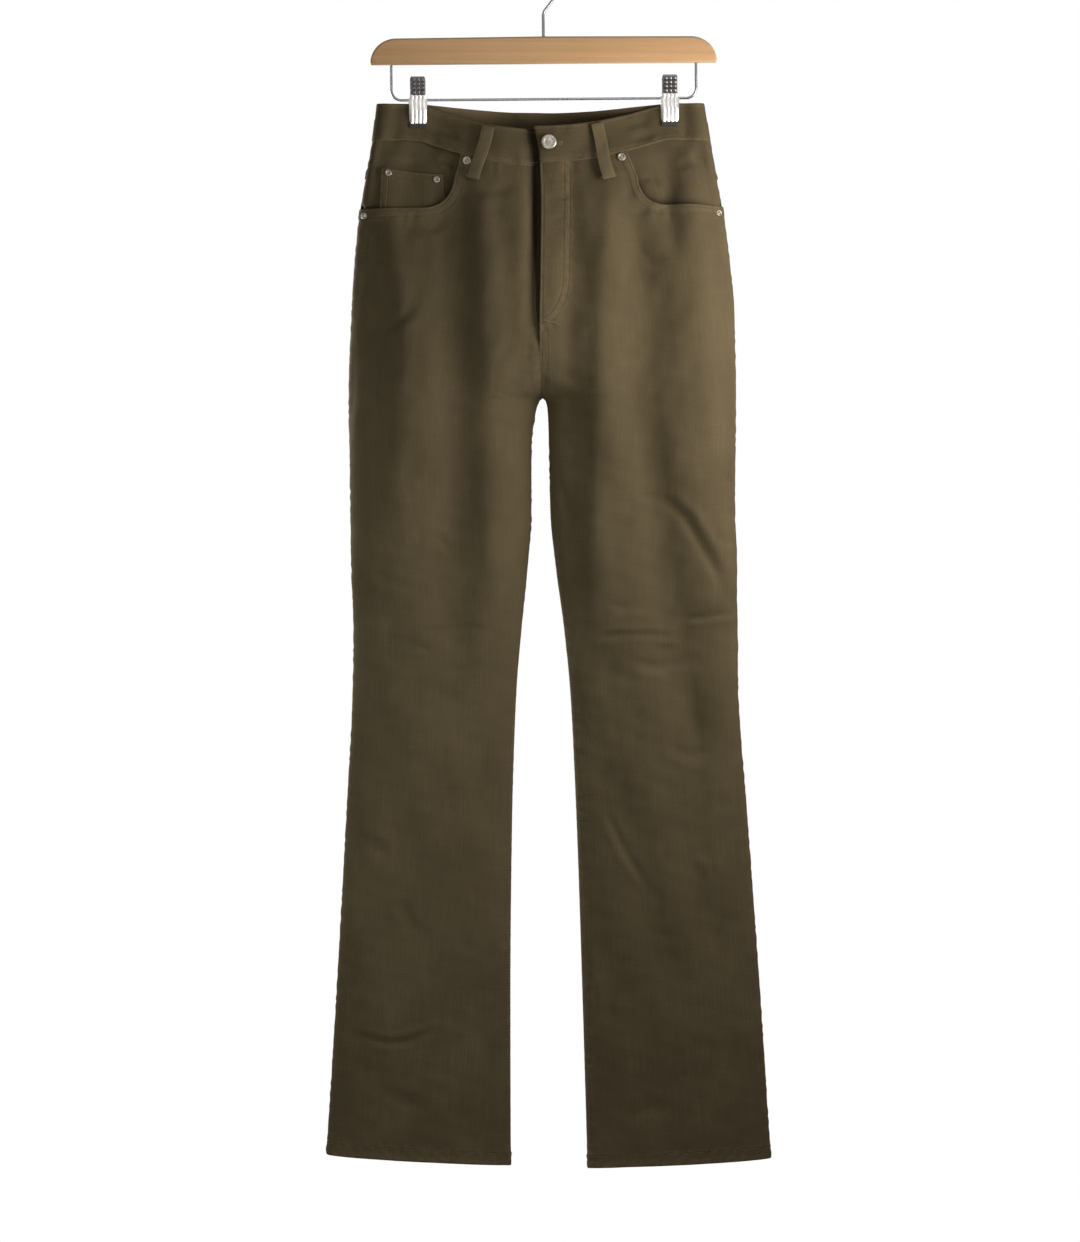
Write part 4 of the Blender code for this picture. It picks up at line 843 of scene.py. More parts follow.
@dataclass
class Sheet:
    """An open sheet: its outer points in millimetres, its quads, and the marks that its material reads."""

    points: Array
    quads: Array
    thickness: Array
    marks: dict[str, Array] = field(default_factory=dict)
    plan: Array | None = None
    rim_steps: int = 2

    @classmethod
    def from_grid(cls, points: Array, thickness: float | Array, flip: bool, **marks: Array) -> "Sheet":
        """A sheet of a grid of points.

        Args:
            points: Rows and columns of points.
            thickness: One thickness, or one for each point.
            flip: Whether the faces turn over to point outwards.
            marks: Values that the material reads, each a grid too. "plan" holds pairs.

        Returns:
            The open sheet.
        """
        size = points.shape[:2]
        plan = marks.pop("plan", None)
        return cls(
            points.reshape(-1, 3),
            grid_faces(*size, flip),
            np.broadcast_to(thickness, size).reshape(-1).astype(float),
            marks={name: np.broadcast_to(values, size).reshape(-1) for name, values in marks.items()},
            plan=None if plan is None else plan.reshape(-1, 2),
        )

    def _rim_edges(self) -> tuple[Array, Array]:
        """Start and end of each directed edge that only one face has."""
        edges = np.concatenate([self.quads[:, [k, (k + 1) % 4]] for k in range(4)])
        low, high = edges.min(axis=1), edges.max(axis=1)
        key = low * (len(self.points) + 1) + high
        _, index, count = np.unique(key, return_index=True, return_counts=True)
        free = edges[index[count == 1]]
        return free[:, 0], free[:, 1]

    def closed(self, name: str) -> bpy.types.Mesh:
        """The sheet with its thickness inwards and a rounded rim, as a closed mesh in metres."""
        count = len(self.points)
        normals = vertex_normals(self.points, self.quads)
        inner = self.points - normals * self.thickness[:, None]
        start, end = self._rim_edges()
        rim = np.unique(start)
        position = np.full(count, -1)
        position[rim] = np.arange(len(rim))
        way = self.points[end] - self.points[start]
        way /= np.maximum(np.linalg.norm(way, axis=1, keepdims=True), 1e-9)
        outward = np.zeros((len(rim), 3))
        for corner in (start, end):
            np.add.at(outward, position[corner], np.cross(way, normals[corner]))
        outward /= np.maximum(np.linalg.norm(outward, axis=1, keepdims=True), 1e-9)
        half = self.thickness[rim, None] / 2.0
        rings = []
        for k in range(1, self.rim_steps + 1):
            turn = math.pi * k / (self.rim_steps + 1)
            sunk = normals[rim] * half * (1 - math.cos(turn))
            rings.append(self.points[rim] - sunk + outward * half * math.sin(turn))
        points = np.concatenate([self.points, inner, *rings])

        ladder = [(start, end)]
        for k in range(self.rim_steps):
            base = 2 * count + k * len(rim)
            ladder.append((base + position[start], base + position[end]))
        ladder.append((start + count, end + count))
        strips = [np.stack([b0, a0, a1, b1], 1) for (a0, b0), (a1, b1) in zip(ladder[:-1], ladder[1:])]
        quads = np.concatenate([self.quads, self.quads[:, ::-1] + count, *strips])
        mesh = bpy.data.meshes.new(name)
        mesh.from_pydata((points * MM).tolist(), [], quads.tolist())
        sources = np.concatenate([np.arange(count), np.arange(count)] + [rim] * self.rim_steps)
        inside = np.concatenate([np.zeros(count), np.ones(count), np.zeros(len(rim) * self.rim_steps)])
        for mark, values in self.marks.items():
            spread = values[sources]
            if mark in FAR_INSIDE:
                spread = np.where(inside > 0, 99.0, spread)
            layer = mesh.attributes.new(mark, "FLOAT", "POINT")
            layer.data.foreach_set("value", spread.astype(np.float32))
        layer = mesh.attributes.new("inside", "FLOAT", "POINT")
        layer.data.foreach_set("value", inside.astype(np.float32))
        if self.plan is not None:
            flat = np.zeros((len(points), 3), np.float32)
            flat[:, :2] = self.plan[sources]
            layer = mesh.attributes.new("cloth_plan", "FLOAT_VECTOR", "POINT")
            layer.data.foreach_set("vector", flat.ravel())
        mesh.shade_smooth()
        mesh.update()
        return mesh


FAR_INSIDE = ("pair_run", "row_run")


def tube(points: Array, radius: float, sides: int = 12, taper_end: bool = False) -> tuple[Array, list]:
    """A round tube along points, in the points' own units, with closed ends.

    Args:
        points: The centre line.
        radius: The tube's radius.
        sides: Points round it.
        taper_end: Whether the last end is rounded off.

    Returns:
        Points and faces.
    """
    points = np.asarray(points, float)
    if taper_end:
        last = points[-1] - points[-2]
        last /= np.linalg.norm(last)
        points = np.vstack([points, points[-1] + last * radius * 0.6, points[-1] + last * radius])
    radii = np.full(len(points), radius)
    if taper_end:
        radii[-2:] = radius * 0.8, radius * 0.25
    tangents = np.gradient(points, axis=0)
    tangents /= np.linalg.norm(tangents, axis=1, keepdims=True)
    side = np.cross(tangents[0], (0.0, 1.0, 0.03))
    frames = []
    for tangent in tangents:
        side = side - tangent * (side @ tangent)
        side /= np.linalg.norm(side)
        frames.append((side, np.cross(tangent, side)))
    turns = np.linspace(0, 2 * math.pi, sides, endpoint=False)
    rings = [
        p + r * (np.cos(turns)[:, None] * u + np.sin(turns)[:, None] * v)
        for p, r, (u, v) in zip(points, radii, frames)
    ]
    verts = np.concatenate([*rings, points[:1], points[-1:]])
    faces = []
    for k in range(len(points) - 1):
        for s in range(sides):
            a, b = k * sides + s, k * sides + (s + 1) % sides
            faces.append((a, b, b + sides, a + sides))
    head, tail, last = len(verts) - 2, len(verts) - 1, (len(points) - 1) * sides
    faces += [(head, (s + 1) % sides, s) for s in range(sides)]
    faces += [(tail, last + s, last + (s + 1) % sides) for s in range(sides)]
    return verts, faces


def lathe(profile: Sequence[tuple[float, float]], steps: int) -> tuple[Array, list]:
    """A turned shape about Z from a profile of radius and height, from the top's centre to the base's."""
    turns = np.linspace(0, 2 * math.pi, steps, endpoint=False)
    rings = [(r, z) for r, z in profile if r > 1e-6]
    verts = [(r * math.cos(t), r * math.sin(t), z) for r, z in rings for t in turns]
    top, base = profile[0][1], profile[-1][1]
    verts += [(0.0, 0.0, top), (0.0, 0.0, base)]
    faces = []
    for k in range(len(rings) - 1):
        for s in range(steps):
            a, b = k * steps + s, k * steps + (s + 1) % steps
            faces.append((a, a + steps, b + steps, b))
    last = (len(rings) - 1) * steps
    faces += [(len(verts) - 2, s, (s + 1) % steps) for s in range(steps)]
    faces += [(len(verts) - 1, last + (s + 1) % steps, last + s) for s in range(steps)]
    return np.array(verts), faces


def mesh_of(name: str, verts: Array, faces: list) -> bpy.types.Mesh:
    """A smooth mesh of points in millimetres."""
    mesh = bpy.data.meshes.new(name)
    mesh.from_pydata((np.asarray(verts) * MM).tolist(), [], [tuple(f) for f in faces])
    mesh.shade_smooth()
    mesh.update()
    return mesh


def joined(parts: Iterable[tuple[Array, list]]) -> tuple[Array, list]:
    """Several shapes as one list of points and faces."""
    verts, faces, base = [], [], 0
    for points, quads in parts:
        verts.append(points)
        faces += [tuple(i + base for i in face) for face in quads]
        base += len(points)
    return np.concatenate(verts), faces


def turned_to(direction: Sequence[float]) -> Array:
    """A rotation that takes +Z to the direction."""
    return np.array(Vector(direction).to_track_quat("Z", "Y").to_matrix())


# ------------ node trees
class Term:
    """A value's socket in a shader, on which sums can be written."""

    def __init__(self, nodes: "Nodes", socket: Socket) -> None:
        """Keeps the socket and the tree that it is in."""
        self.nodes, self.socket = nodes, socket

    def _do(self, operation: str, *values: "Term | float") -> "Term":
        """A Math node on this value and others."""
        inputs = dict(enumerate((self, *values)))
        return Term(self.nodes, self.nodes.add("ShaderNodeMath", {"operation": operation}, inputs).outputs[0])

    def __add__(self, other: "Term | float") -> "Term":
        """The sum."""
        return self._do("ADD", other)

    def __radd__(self, other: float) -> "Term":
        """The sum."""
        return self._do("ADD", other)

    def __sub__(self, other: "Term | float") -> "Term":
        """The difference."""
        return self._do("SUBTRACT", other)

    def __mul__(self, other: "Term | float") -> "Term":
        """The product."""
        return self._do("MULTIPLY", other)

    def __abs__(self) -> "Term":
        """The size without its sign."""
        return self._do("ABSOLUTE")

    def sine(self) -> "Term":
        """The sine."""
        return self._do("SINE")

    def exp(self) -> "Term":
        """The exponential."""
        return self._do("EXPONENT")

    def bell(self, width: float) -> "Term":
        """A bell curve, 1 where this value is 0."""
        scaled = self * (1.0 / width)
        return (scaled * scaled * -1.0).exp()

    def step(self, low: float, high: float) -> "Term":
        """A smooth step from 0 at low to 1 at high."""
        settings = {"interpolation_type": "SMOOTHSTEP"}
        inputs = {"Value": self, "From Min": low, "From Max": high}
        return Term(self.nodes, self.nodes.add("ShaderNodeMapRange", settings, inputs).outputs[0])

    def held(self) -> "Term":
        """The value kept between 0 and 1."""
        return self._do("MAXIMUM", 0.0)._do("MINIMUM", 1.0)


class Nodes:
    """Adds nodes to a tree."""

    def __init__(self, tree: bpy.types.NodeTree) -> None:
        """Keeps the tree."""
        self.tree = tree

    def add(self, kind: str, settings: dict | None = None, inputs: dict | None = None) -> bpy.types.Node:
        """Makes a node.

        Args:
            kind: The node's type.
            settings: Its own settings, set first. "stops" fills a colour ramp.
            inputs: Values, sockets or Terms for its inputs, by name or number.

        Returns:
            The node.
        """
        node = self.tree.nodes.new(kind)
        for name, value in (settings or {}).items():
            if name == "stops":
                ramp = node.color_ramp.elements
                while len(ramp) < len(value):
                    ramp.new(1.0)
                for element, (place, colour) in zip(ramp, value):
                    element.position, element.color = place, (*colour, 1.0)
            else:
                setattr(node, name, value)
        for key, value in (inputs or {}).items():
            target = node.inputs[key]
            if isinstance(value, Term):
                value = value.socket
            if isinstance(value, Socket):
                self.tree.links.new(value, target)
            else:
                target.default_value = value
        return node

    def attribute(self, name: str) -> Term:
        """A value that the mesh carries."""
        return Term(self, self.add("ShaderNodeAttribute", {"attribute_name": name}).outputs["Fac"])

    def noise(self, vector: Socket, scale: float, detail: float = 2.0, roughness: float = 0.5) -> Term:
        """Soft noise round 0.5."""
        inputs = {"Vector": vector, "Scale": scale, "Detail": detail, "Roughness": roughness}
        return Term(self, self.add("ShaderNodeTexNoise", None, inputs).outputs[0])

    def place(self) -> Socket:
        """Where a point lies in its own object."""
        return self.add("ShaderNodeTexCoord").outputs["Object"]

    def math(self, operation: str, first: object, second: object) -> Socket:
        """A Math node on two values."""
        return self.add("ShaderNodeMath", {"operation": operation}, {0: first, 1: second}).outputs[0]

    def mapped(self, vector: Socket, scale: tuple, move: tuple = (0, 0, 0)) -> Socket:
        """A vector scaled and moved."""
        inputs = {"Vector": vector, "Scale": scale, "Location": move}
        return self.add("ShaderNodeMapping", None, inputs).outputs[0]

    def mix(self, factor: Term | float, first: object, second: object) -> Socket:
        """A colour between two."""
        inputs = {0: factor, 6: first, 7: second}
        return self.add("ShaderNodeMix", {"data_type": "RGBA"}, inputs).outputs[2]

    def ramp(self, value: Term, stops: Sequence[tuple[float, tuple]]) -> Socket:
        """A colour by value."""
        return self.add("ShaderNodeValToRGB", {"stops": stops}, {0: value}).outputs[0]

    def bump(self, height: Term, distance: float, strength: float = 1.0) -> Socket:
        """A normal from a height."""
        inputs = {"Height": height, "Distance": distance, "Strength": strength}
        return self.add("ShaderNodeBump", None, inputs).outputs[0]


def rgba(colour: Sequence[float]) -> tuple:
    """A colour with its alpha."""
    return (*colour, 1.0)


def shaded(colour: Sequence[float], share: float) -> tuple:
    """A colour made darker or paler, with its alpha."""
    return rgba([c * share for c in colour])


MADE: dict["Finish", bpy.types.Material] = {}


@dataclass(frozen=True)
class Finish:
    """A material finish. Each kind fills in its own shader."""

    name: str

    def made(self) -> bpy.types.Material:
        """The finish's material, made once."""
        if self in MADE:
            return MADE[self]
        material = MADE[self] = bpy.data.materials.new(self.name)
        material.use_nodes = True
        material.node_tree.nodes.clear()
        nodes = Nodes(material.node_tree)
        shader = self.shader(nodes)
        nodes.add("ShaderNodeOutputMaterial", None, {"Surface": shader.outputs[0]})
        return material

    def shader(self, nodes: Nodes) -> bpy.types.Node:
        """The shader node of this finish."""
        raise NotImplementedError


@dataclass(frozen=True)
class Twill(Finish):
    """Brushed cotton twill, piece-dyed, with a soft nap, worn paler on its ridges."""

    deep: tuple = (0.054, 0.043, 0.023)
    base: tuple = (0.098, 0.076, 0.042)
    pale: tuple = (0.160, 0.124, 0.072)
    rib: float = 0.62  # millimetres from one twill line to the next
    groove: float = 0.5

    def shader(self, nodes: Nodes) -> bpy.types.Node:
        """Twill lines, slubs and nap on the cloth's own plan, with stitch grooves, paler ridges, painted
        shadow beside the fly and in the pocket mouths, and a paler reverse that is partly painted light.
        """
        plan = nodes.add("ShaderNodeAttribute", {"attribute_name": "cloth_plan"}).outputs["Vector"]
        axes = nodes.add("ShaderNodeSeparateXYZ", None, {0: plan})
        across, down = Term(nodes, axes.outputs[0]), Term(nodes, axes.outputs[1])
        line = ((across * 0.88 + down * 0.48) * (2 * math.pi / self.rib)).sine()
        slub = nodes.noise(nodes.mapped(plan, (0.9, 0.018, 1.0)), 1.0, 3.0, 0.6)
        weft = nodes.noise(nodes.mapped(plan, (0.03, 1.3, 1.0), move=(40.0, 7.0, 0.0)), 1.0, 2.0, 0.5)
        cloud = nodes.noise(plan, 0.014, 4.0, 0.55)
        nap = nodes.noise(plan, 0.9, 3.0, 0.65)
        wear = nodes.attribute("wear")
        patch = nodes.noise(plan, 0.16, 3.0, 0.6)
        soft = (cloud - 0.5) * 0.4 + (nap - 0.5) * 0.6 + line * 0.06
        tone = 0.5 + soft + (slub - 0.5) * 0.32 + (weft - 0.5) * 0.15
        body = nodes.ramp(tone.held(), ((0.12, self.deep), (0.5, self.base), (0.88, self.pale)))
        rubbed = (wear * (patch.step(0.34, 0.66) * 0.7 + 0.3) * 0.48).held()
        colour = nodes.mix(rubbed, body, rgba((self.pale[0] * 1.12, self.pale[1] * 1.1, self.pale[2] * 1.06)))
        # Painted shadow: this mark darkens the cloth nearly to black beside the fly's edge, on the fly
        # shield, under the waistband's lap and just inside the pocket mouths.
        gap = nodes.attribute("gap").held()
        # The inner faces are painted paler: partly the cloth's paler wrong side, partly painted light that
        # lifts the shade inside the waist.
        colour = nodes.mix(nodes.attribute("inside") * 0.5, colour, shaded(self.pale, 1.25))
        colour = nodes.mix(gap * 0.85, colour, rgba((0.006, 0.005, 0.004)))
        pair, row = abs(nodes.attribute("pair_run")), nodes.attribute("row_run")
        sunk = (pair - 3.15).bell(0.8) + row.bell(0.8)
        height = line * 0.03 + (nap - 0.5) * 0.2 + (slub - 0.5) * 0.14 - sunk * self.groove
        inputs = {
            "Base Color": colour,
            "Roughness": 0.8 + (nap * 0.14),
            "Normal": nodes.bump(height, MM, 0.9),
            "Sheen Weight": 0.10,
            "Sheen Roughness": 0.5,
            "Sheen Tint": rgba((0.45, 0.38, 0.25)),
            "Specular IOR Level": 0.08,
        }
        return nodes.add("ShaderNodeBsdfPrincipled", None, inputs)


@dataclass(frozen=True)
class Thread(Finish):
    """Spun polyester sewing thread."""

    colour: tuple = (0.118, 0.091, 0.046)

    def shader(self, nodes: Nodes) -> bpy.types.Node:
        """Two plies of thread with a little variation."""
        place = nodes.place()
        shade = nodes.noise(place, 900.0, 1.0)
        colour = nodes.mix(shade, shaded(self.colour, 0.7), shaded(self.colour, 1.35))
        ply = nodes.noise(place, 5200.0, 1.0)
        inputs = {
            "Base Color": colour,
            "Roughness": 0.55 + shade * 0.15,
            "Normal": nodes.bump(ply, 0.15 * MM, 0.5),
            "Sheen Weight": 0.2,
            "Specular IOR Level": 0.4,
        }
        return nodes.add("ShaderNodeBsdfPrincipled", None, inputs)


@dataclass(frozen=True)
class Metal(Finish):
    """Plated or polished metal with fine wear."""

    colour: tuple = (0.6, 0.6, 0.6)
    tarnish: tuple = (0.2, 0.19, 0.17)
    roughness: float = 0.25
    grain: float = 500.0
    relief: float = 0.02
    tarnished: float = 0.3

    def shader(self, nodes: Nodes) -> bpy.types.Node:
        """Metal that is duller and darker in patches."""
        place = nodes.place()
        cloud, fine = nodes.noise(place, self.grain, 3.0, 0.6), nodes.noise(place, self.grain * 6.0, 2.0)
        worn = (cloud.step(0.42, 0.72) * self.tarnished).held()
        inputs = {
            "Base Color": nodes.mix(worn, rgba(self.colour), rgba(self.tarnish)),
            "Metallic": 1.0,
            "Roughness": (self.roughness + (cloud - 0.5) * 0.12 + worn * 0.2).held(),
            "Normal": nodes.bump(cloud * 0.7 + fine * 0.3, self.relief * MM, 0.7),
        }
        return nodes.add("ShaderNodeBsdfPrincipled", None, inputs)


@dataclass(frozen=True)
class Beech(Finish):
    """Lacquered beech with straight grain along X and short dark flecks."""

    pale: tuple = (0.72, 0.45, 0.235)
    warm: tuple = (0.56, 0.31, 0.135)
    fleck: tuple = (0.34, 0.165, 0.065)

    def shader(self, nodes: Nodes) -> bpy.types.Node:
        """Grain lines, flecks and a satin lacquer."""
        place = nodes.place()
        bands = nodes.noise(nodes.mapped(place, (3.0, 60.0, 130.0)), 1.0, 4.0, 0.55)
        fibres = nodes.noise(nodes.mapped(place, (16.0, 400.0, 900.0)), 1.0, 3.0, 0.6)
        flecks = nodes.noise(nodes.mapped(place, (170.0, 900.0, 1500.0)), 1.0, 2.0, 0.6).step(0.62, 0.74)
        cloud = nodes.noise(nodes.mapped(place, (7.0, 12.0, 12.0)), 1.0, 3.0)
        tone = (0.5 + (bands - 0.5) * 1.0 + (fibres - 0.5) * 0.45 + (cloud - 0.5) * 0.5).held()
        body = nodes.ramp(tone, ((0.15, self.warm), (0.75, self.pale)))
        colour = nodes.mix(flecks * 0.28, body, rgba(self.fleck))
        inputs = {
            "Base Color": colour,
            "Roughness": 0.4 + (fibres - 0.5) * 0.15,
            "Normal": nodes.bump(fibres * 0.5 + bands * 0.5, 0.08 * MM, 0.5),
            "Coat Weight": 0.35,
            "Coat Roughness": 0.22,
            "Specular IOR Level": 0.45,
        }
        return nodes.add("ShaderNodeBsdfPrincipled", None, inputs)


@dataclass(frozen=True)
class Rubber(Finish):
    """Moulded soft plastic with a fine dusty grain."""

    colour: tuple = (0.028, 0.027, 0.026)

    def shader(self, nodes: Nodes) -> bpy.types.Node:
        """Matt dark plastic."""
        place = nodes.place()
        dust = nodes.noise(place, 420.0, 3.0, 0.6)
        colour = nodes.mix(dust.step(0.5, 0.8) * 0.5, rgba(self.colour), shaded(self.colour, 2.6))
        normal = nodes.bump(dust, 0.05 * MM, 0.6)
        inputs = {"Base Color": colour, "Roughness": 0.55 + dust * 0.3, "Normal": normal}
        return nodes.add("ShaderNodeBsdfPrincipled", None, inputs)


@dataclass(frozen=True)
class Paper(Finish):
    """The pale studio floor."""

    colour: tuple = (0.86, 0.86, 0.85)

    def shader(self, nodes: Nodes) -> bpy.types.Node:
        """A matt floor that passes into the light background further out."""
        place = nodes.place()
        length = nodes.add("ShaderNodeVectorMath", {"operation": "LENGTH"}, {0: place})
        far = Term(nodes, length.outputs["Value"])
        grain = nodes.noise(place, 60.0, 3.0)
        colour = nodes.mix(grain * 0.12, rgba(self.colour), shaded(self.colour, 0.93))
        inputs = {"Base Color": colour, "Roughness": 0.9 + grain * 0.05}
        matt = nodes.add("ShaderNodeBsdfPrincipled", None, inputs)
        glow = nodes.add("ShaderNodeEmission", None, {"Color": rgba((1.0, 1.0, 1.0)), "Strength": 1.0})
        seen = Term(nodes, nodes.add("ShaderNodeLightPath").outputs["Is Camera Ray"])
        inputs = {0: (far.step(0.8, 1.7) * 0.45 + 0.55) * seen, 1: matt.outputs[0], 2: glow.outputs[0]}
        return nodes.add("ShaderNodeMixShader", None, inputs)


TWILL = Twill("brushed_twill")
NICKEL = Metal("antique_nickel", (0.46, 0.42, 0.36), (0.09, 0.08, 0.06), 0.38, 700.0, 0.10, 0.7)
RIVET = Metal("rivet_nickel", (0.38, 0.34, 0.28), (0.06, 0.052, 0.04), 0.42, 900.0, 0.10, 0.85)
CHROME = Metal("drawn_wire", (0.34, 0.34, 0.35), (0.16, 0.16, 0.16), 0.24, 160.0, 0.01, 0.25)
CLIP_STEEL = Metal("clip_plate", (0.88, 0.86, 0.84), (0.45, 0.44, 0.42), 0.34, 260.0, 0.02, 0.2)
# Painted reflection: the thumb tabs are chrome steel like the jaws, painted dark in place of the dark
# surroundings that they reflect.
PAINTED_DARK_STEEL = Metal("clip_tab", (0.16, 0.15, 0.15), (0.05, 0.05, 0.05), 0.34, 300.0, 0.03, 0.4)
RUBBER = Rubber("clip_grip")
BEECH = Beech("lacquered_beech")
THREAD = Thread("olive_thread")
TACKING = Thread("tack_thread", (0.132, 0.102, 0.054))
BRASS = Metal("zip_chain", (0.52, 0.38, 0.17), (0.16, 0.11, 0.05), 0.32, 500.0, 0.03, 0.35)
TAPE = Twill("zip_cloth", (0.030, 0.026, 0.018), (0.045, 0.038, 0.026), (0.065, 0.055, 0.040), 0.9)
FLOOR = Paper("studio_paper")


def finished(made: Piece, finish: Finish, slot: str, *nodes: str) -> Piece:
    """Dresses a piece, lets it ride on the one body, and puts it in the place of its solids."""
    made.data.materials.clear()
    made.data.materials.append(finish.made())
    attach(made, "root")
    if nodes:
        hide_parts(*nodes)
    log.info("%s: %d points", made.name, len(made.data.vertices))
    return made


# ------------ geometry trees
class Scatter:
    """A geometry tree that sets a small shape again and again along paths."""

    def __init__(self, name: str, across: bool) -> None:
        """Builds the tree, with the shape lying along the path or across it."""
        self.tree = bpy.data.node_groups.new(name, "GeometryNodeTree")
        self.sockets: dict[str, str] = {}
        face = self.tree.interface
        face.new_socket("Paths", in_out="INPUT", socket_type="NodeSocketGeometry")
        for title, kind in (
            ("Spacing", "NodeSocketFloat"),
            ("Length", "NodeSocketFloat"),
            ("Radius", "NodeSocketFloat"),
            ("Flatness", "NodeSocketFloat"),
            ("Unevenness", "NodeSocketFloat"),
            ("Seed", "NodeSocketInt"),
            ("Finish", "NodeSocketMaterial"),
        ):
            self.sockets[title] = face.new_socket(title, in_out="INPUT", socket_type=kind).identifier
        face.new_socket("Pieces", in_out="OUTPUT", socket_type="NodeSocketGeometry")
        self._wire(across)

    def _wire(self, across: bool) -> None:
        """Path to points, points to shapes, shapes to one finished mesh."""
        nodes = Nodes(self.tree)
        given = nodes.add("NodeGroupInput").outputs
        curve = nodes.add("GeometryNodeMeshToCurve", None, {"Mesh": given["Paths"]})
        inputs = {"Curve": curve.outputs[0], "Length": given["Spacing"]}
        spaced = nodes.add("GeometryNodeResampleCurve", {"mode": "LENGTH"}, inputs)
        settings = {"data_type": "FLOAT_VECTOR"}
        up = nodes.add("GeometryNodeInputNamedAttribute", settings, {"Name": "up"}).outputs[0]
        tangent = nodes.add("GeometryNodeInputTangent").outputs[0]
        if across:
            inputs = {0: tangent, 1: up}
            tangent = nodes.add("ShaderNodeVectorMath", {"operation": "CROSS_PRODUCT"}, inputs).outputs[0]
        aim = nodes.add("FunctionNodeAlignRotationToVector", {"axis": "Z"}, {"Vector": tangent})
        inputs = {"Rotation": aim.outputs[0], "Vector": up}
        turn = nodes.add("FunctionNodeAlignRotationToVector", {"axis": "X", "pivot_axis": "Z"}, inputs)
        bead = nodes.add("GeometryNodeMeshUVSphere", None, {"Segments": 6, "Rings": 4, "Radius": 1.0})
        uneven = nodes.add("FunctionNodeRandomValue", {"data_type": "FLOAT"}, {"Seed": given["Seed"]})
        for socket, operation in (("Min", "SUBTRACT"), ("Max", "ADD")):
            target = [s for s in uneven.inputs if s.name == socket and s.enabled][0]
            self.tree.links.new(nodes.math(operation, 1.0, given["Unevenness"]), target)
        value = [s for s in uneven.outputs if s.enabled][0]
        reach = nodes.math("MULTIPLY", nodes.math("MULTIPLY", given["Length"], 0.5), value)
        flat = nodes.math("MULTIPLY", given["Radius"], given["Flatness"])
        size = nodes.add("ShaderNodeCombineXYZ", None, {0: flat, 1: given["Radius"], 2: reach})
        inputs = {"Points": spaced, "Instance": bead, "Rotation": turn, "Scale": size}
        inputs = {name: node.outputs[0] for name, node in inputs.items()}
        many = nodes.add("GeometryNodeInstanceOnPoints", None, inputs)
        real = nodes.add("GeometryNodeRealizeInstances", None, {0: many.outputs[0]})
        smooth = nodes.add("GeometryNodeSetShadeSmooth", None, {"Geometry": real.outputs[0]})
        inputs = {"Geometry": smooth.outputs[0], "Material": given["Finish"]}
        dressed = nodes.add("GeometryNodeSetMaterial", None, inputs)
        nodes.add("NodeGroupOutput", None, {0: dressed.outputs[0]})

    def run(self, name: str, paths: Sequence[tuple[Array, Array]], finish: Finish, **sizes: float) -> Piece:
        """Sets the shapes along paths.

        Args:
            name: Name of the piece.
            paths: For each path its points in millimetres and its upward directions.
            finish: The finish of the shapes.
            sizes: Named inputs of the tree, in metres.

        Returns:
            The piece, as a plain mesh.
        """
        verts, edges, ups, base = [], [], [], 0
        for points, up in paths:
            verts.append(points)
            ups.append(up)
            edges += [(base + k, base + k + 1) for k in range(len(points) - 1)]
            base += len(points)
        mesh = bpy.data.meshes.new(f"{name} paths")
        mesh.from_pydata((np.concatenate(verts) * MM).tolist(), edges, [])
        layer = mesh.attributes.new("up", "FLOAT_VECTOR", "POINT")
        layer.data.foreach_set("vector", np.concatenate(ups).astype(np.float32).ravel())
        carrier = new_object(f"{name} paths", mesh)
        modifier = carrier.modifiers.new("Scatter", "NODES")
        modifier.node_group = self.tree
        for title, value in sizes.items():
            modifier[self.sockets[title.capitalize()]] = value
        modifier[self.sockets["Finish"]] = finish.made()
        graph = bpy.context.evaluated_depsgraph_get()
        plain = bpy.data.meshes.new_from_object(carrier.evaluated_get(graph))
        plain.name = name
        bpy.data.objects.remove(carrier)
        return new_object(name, plain)


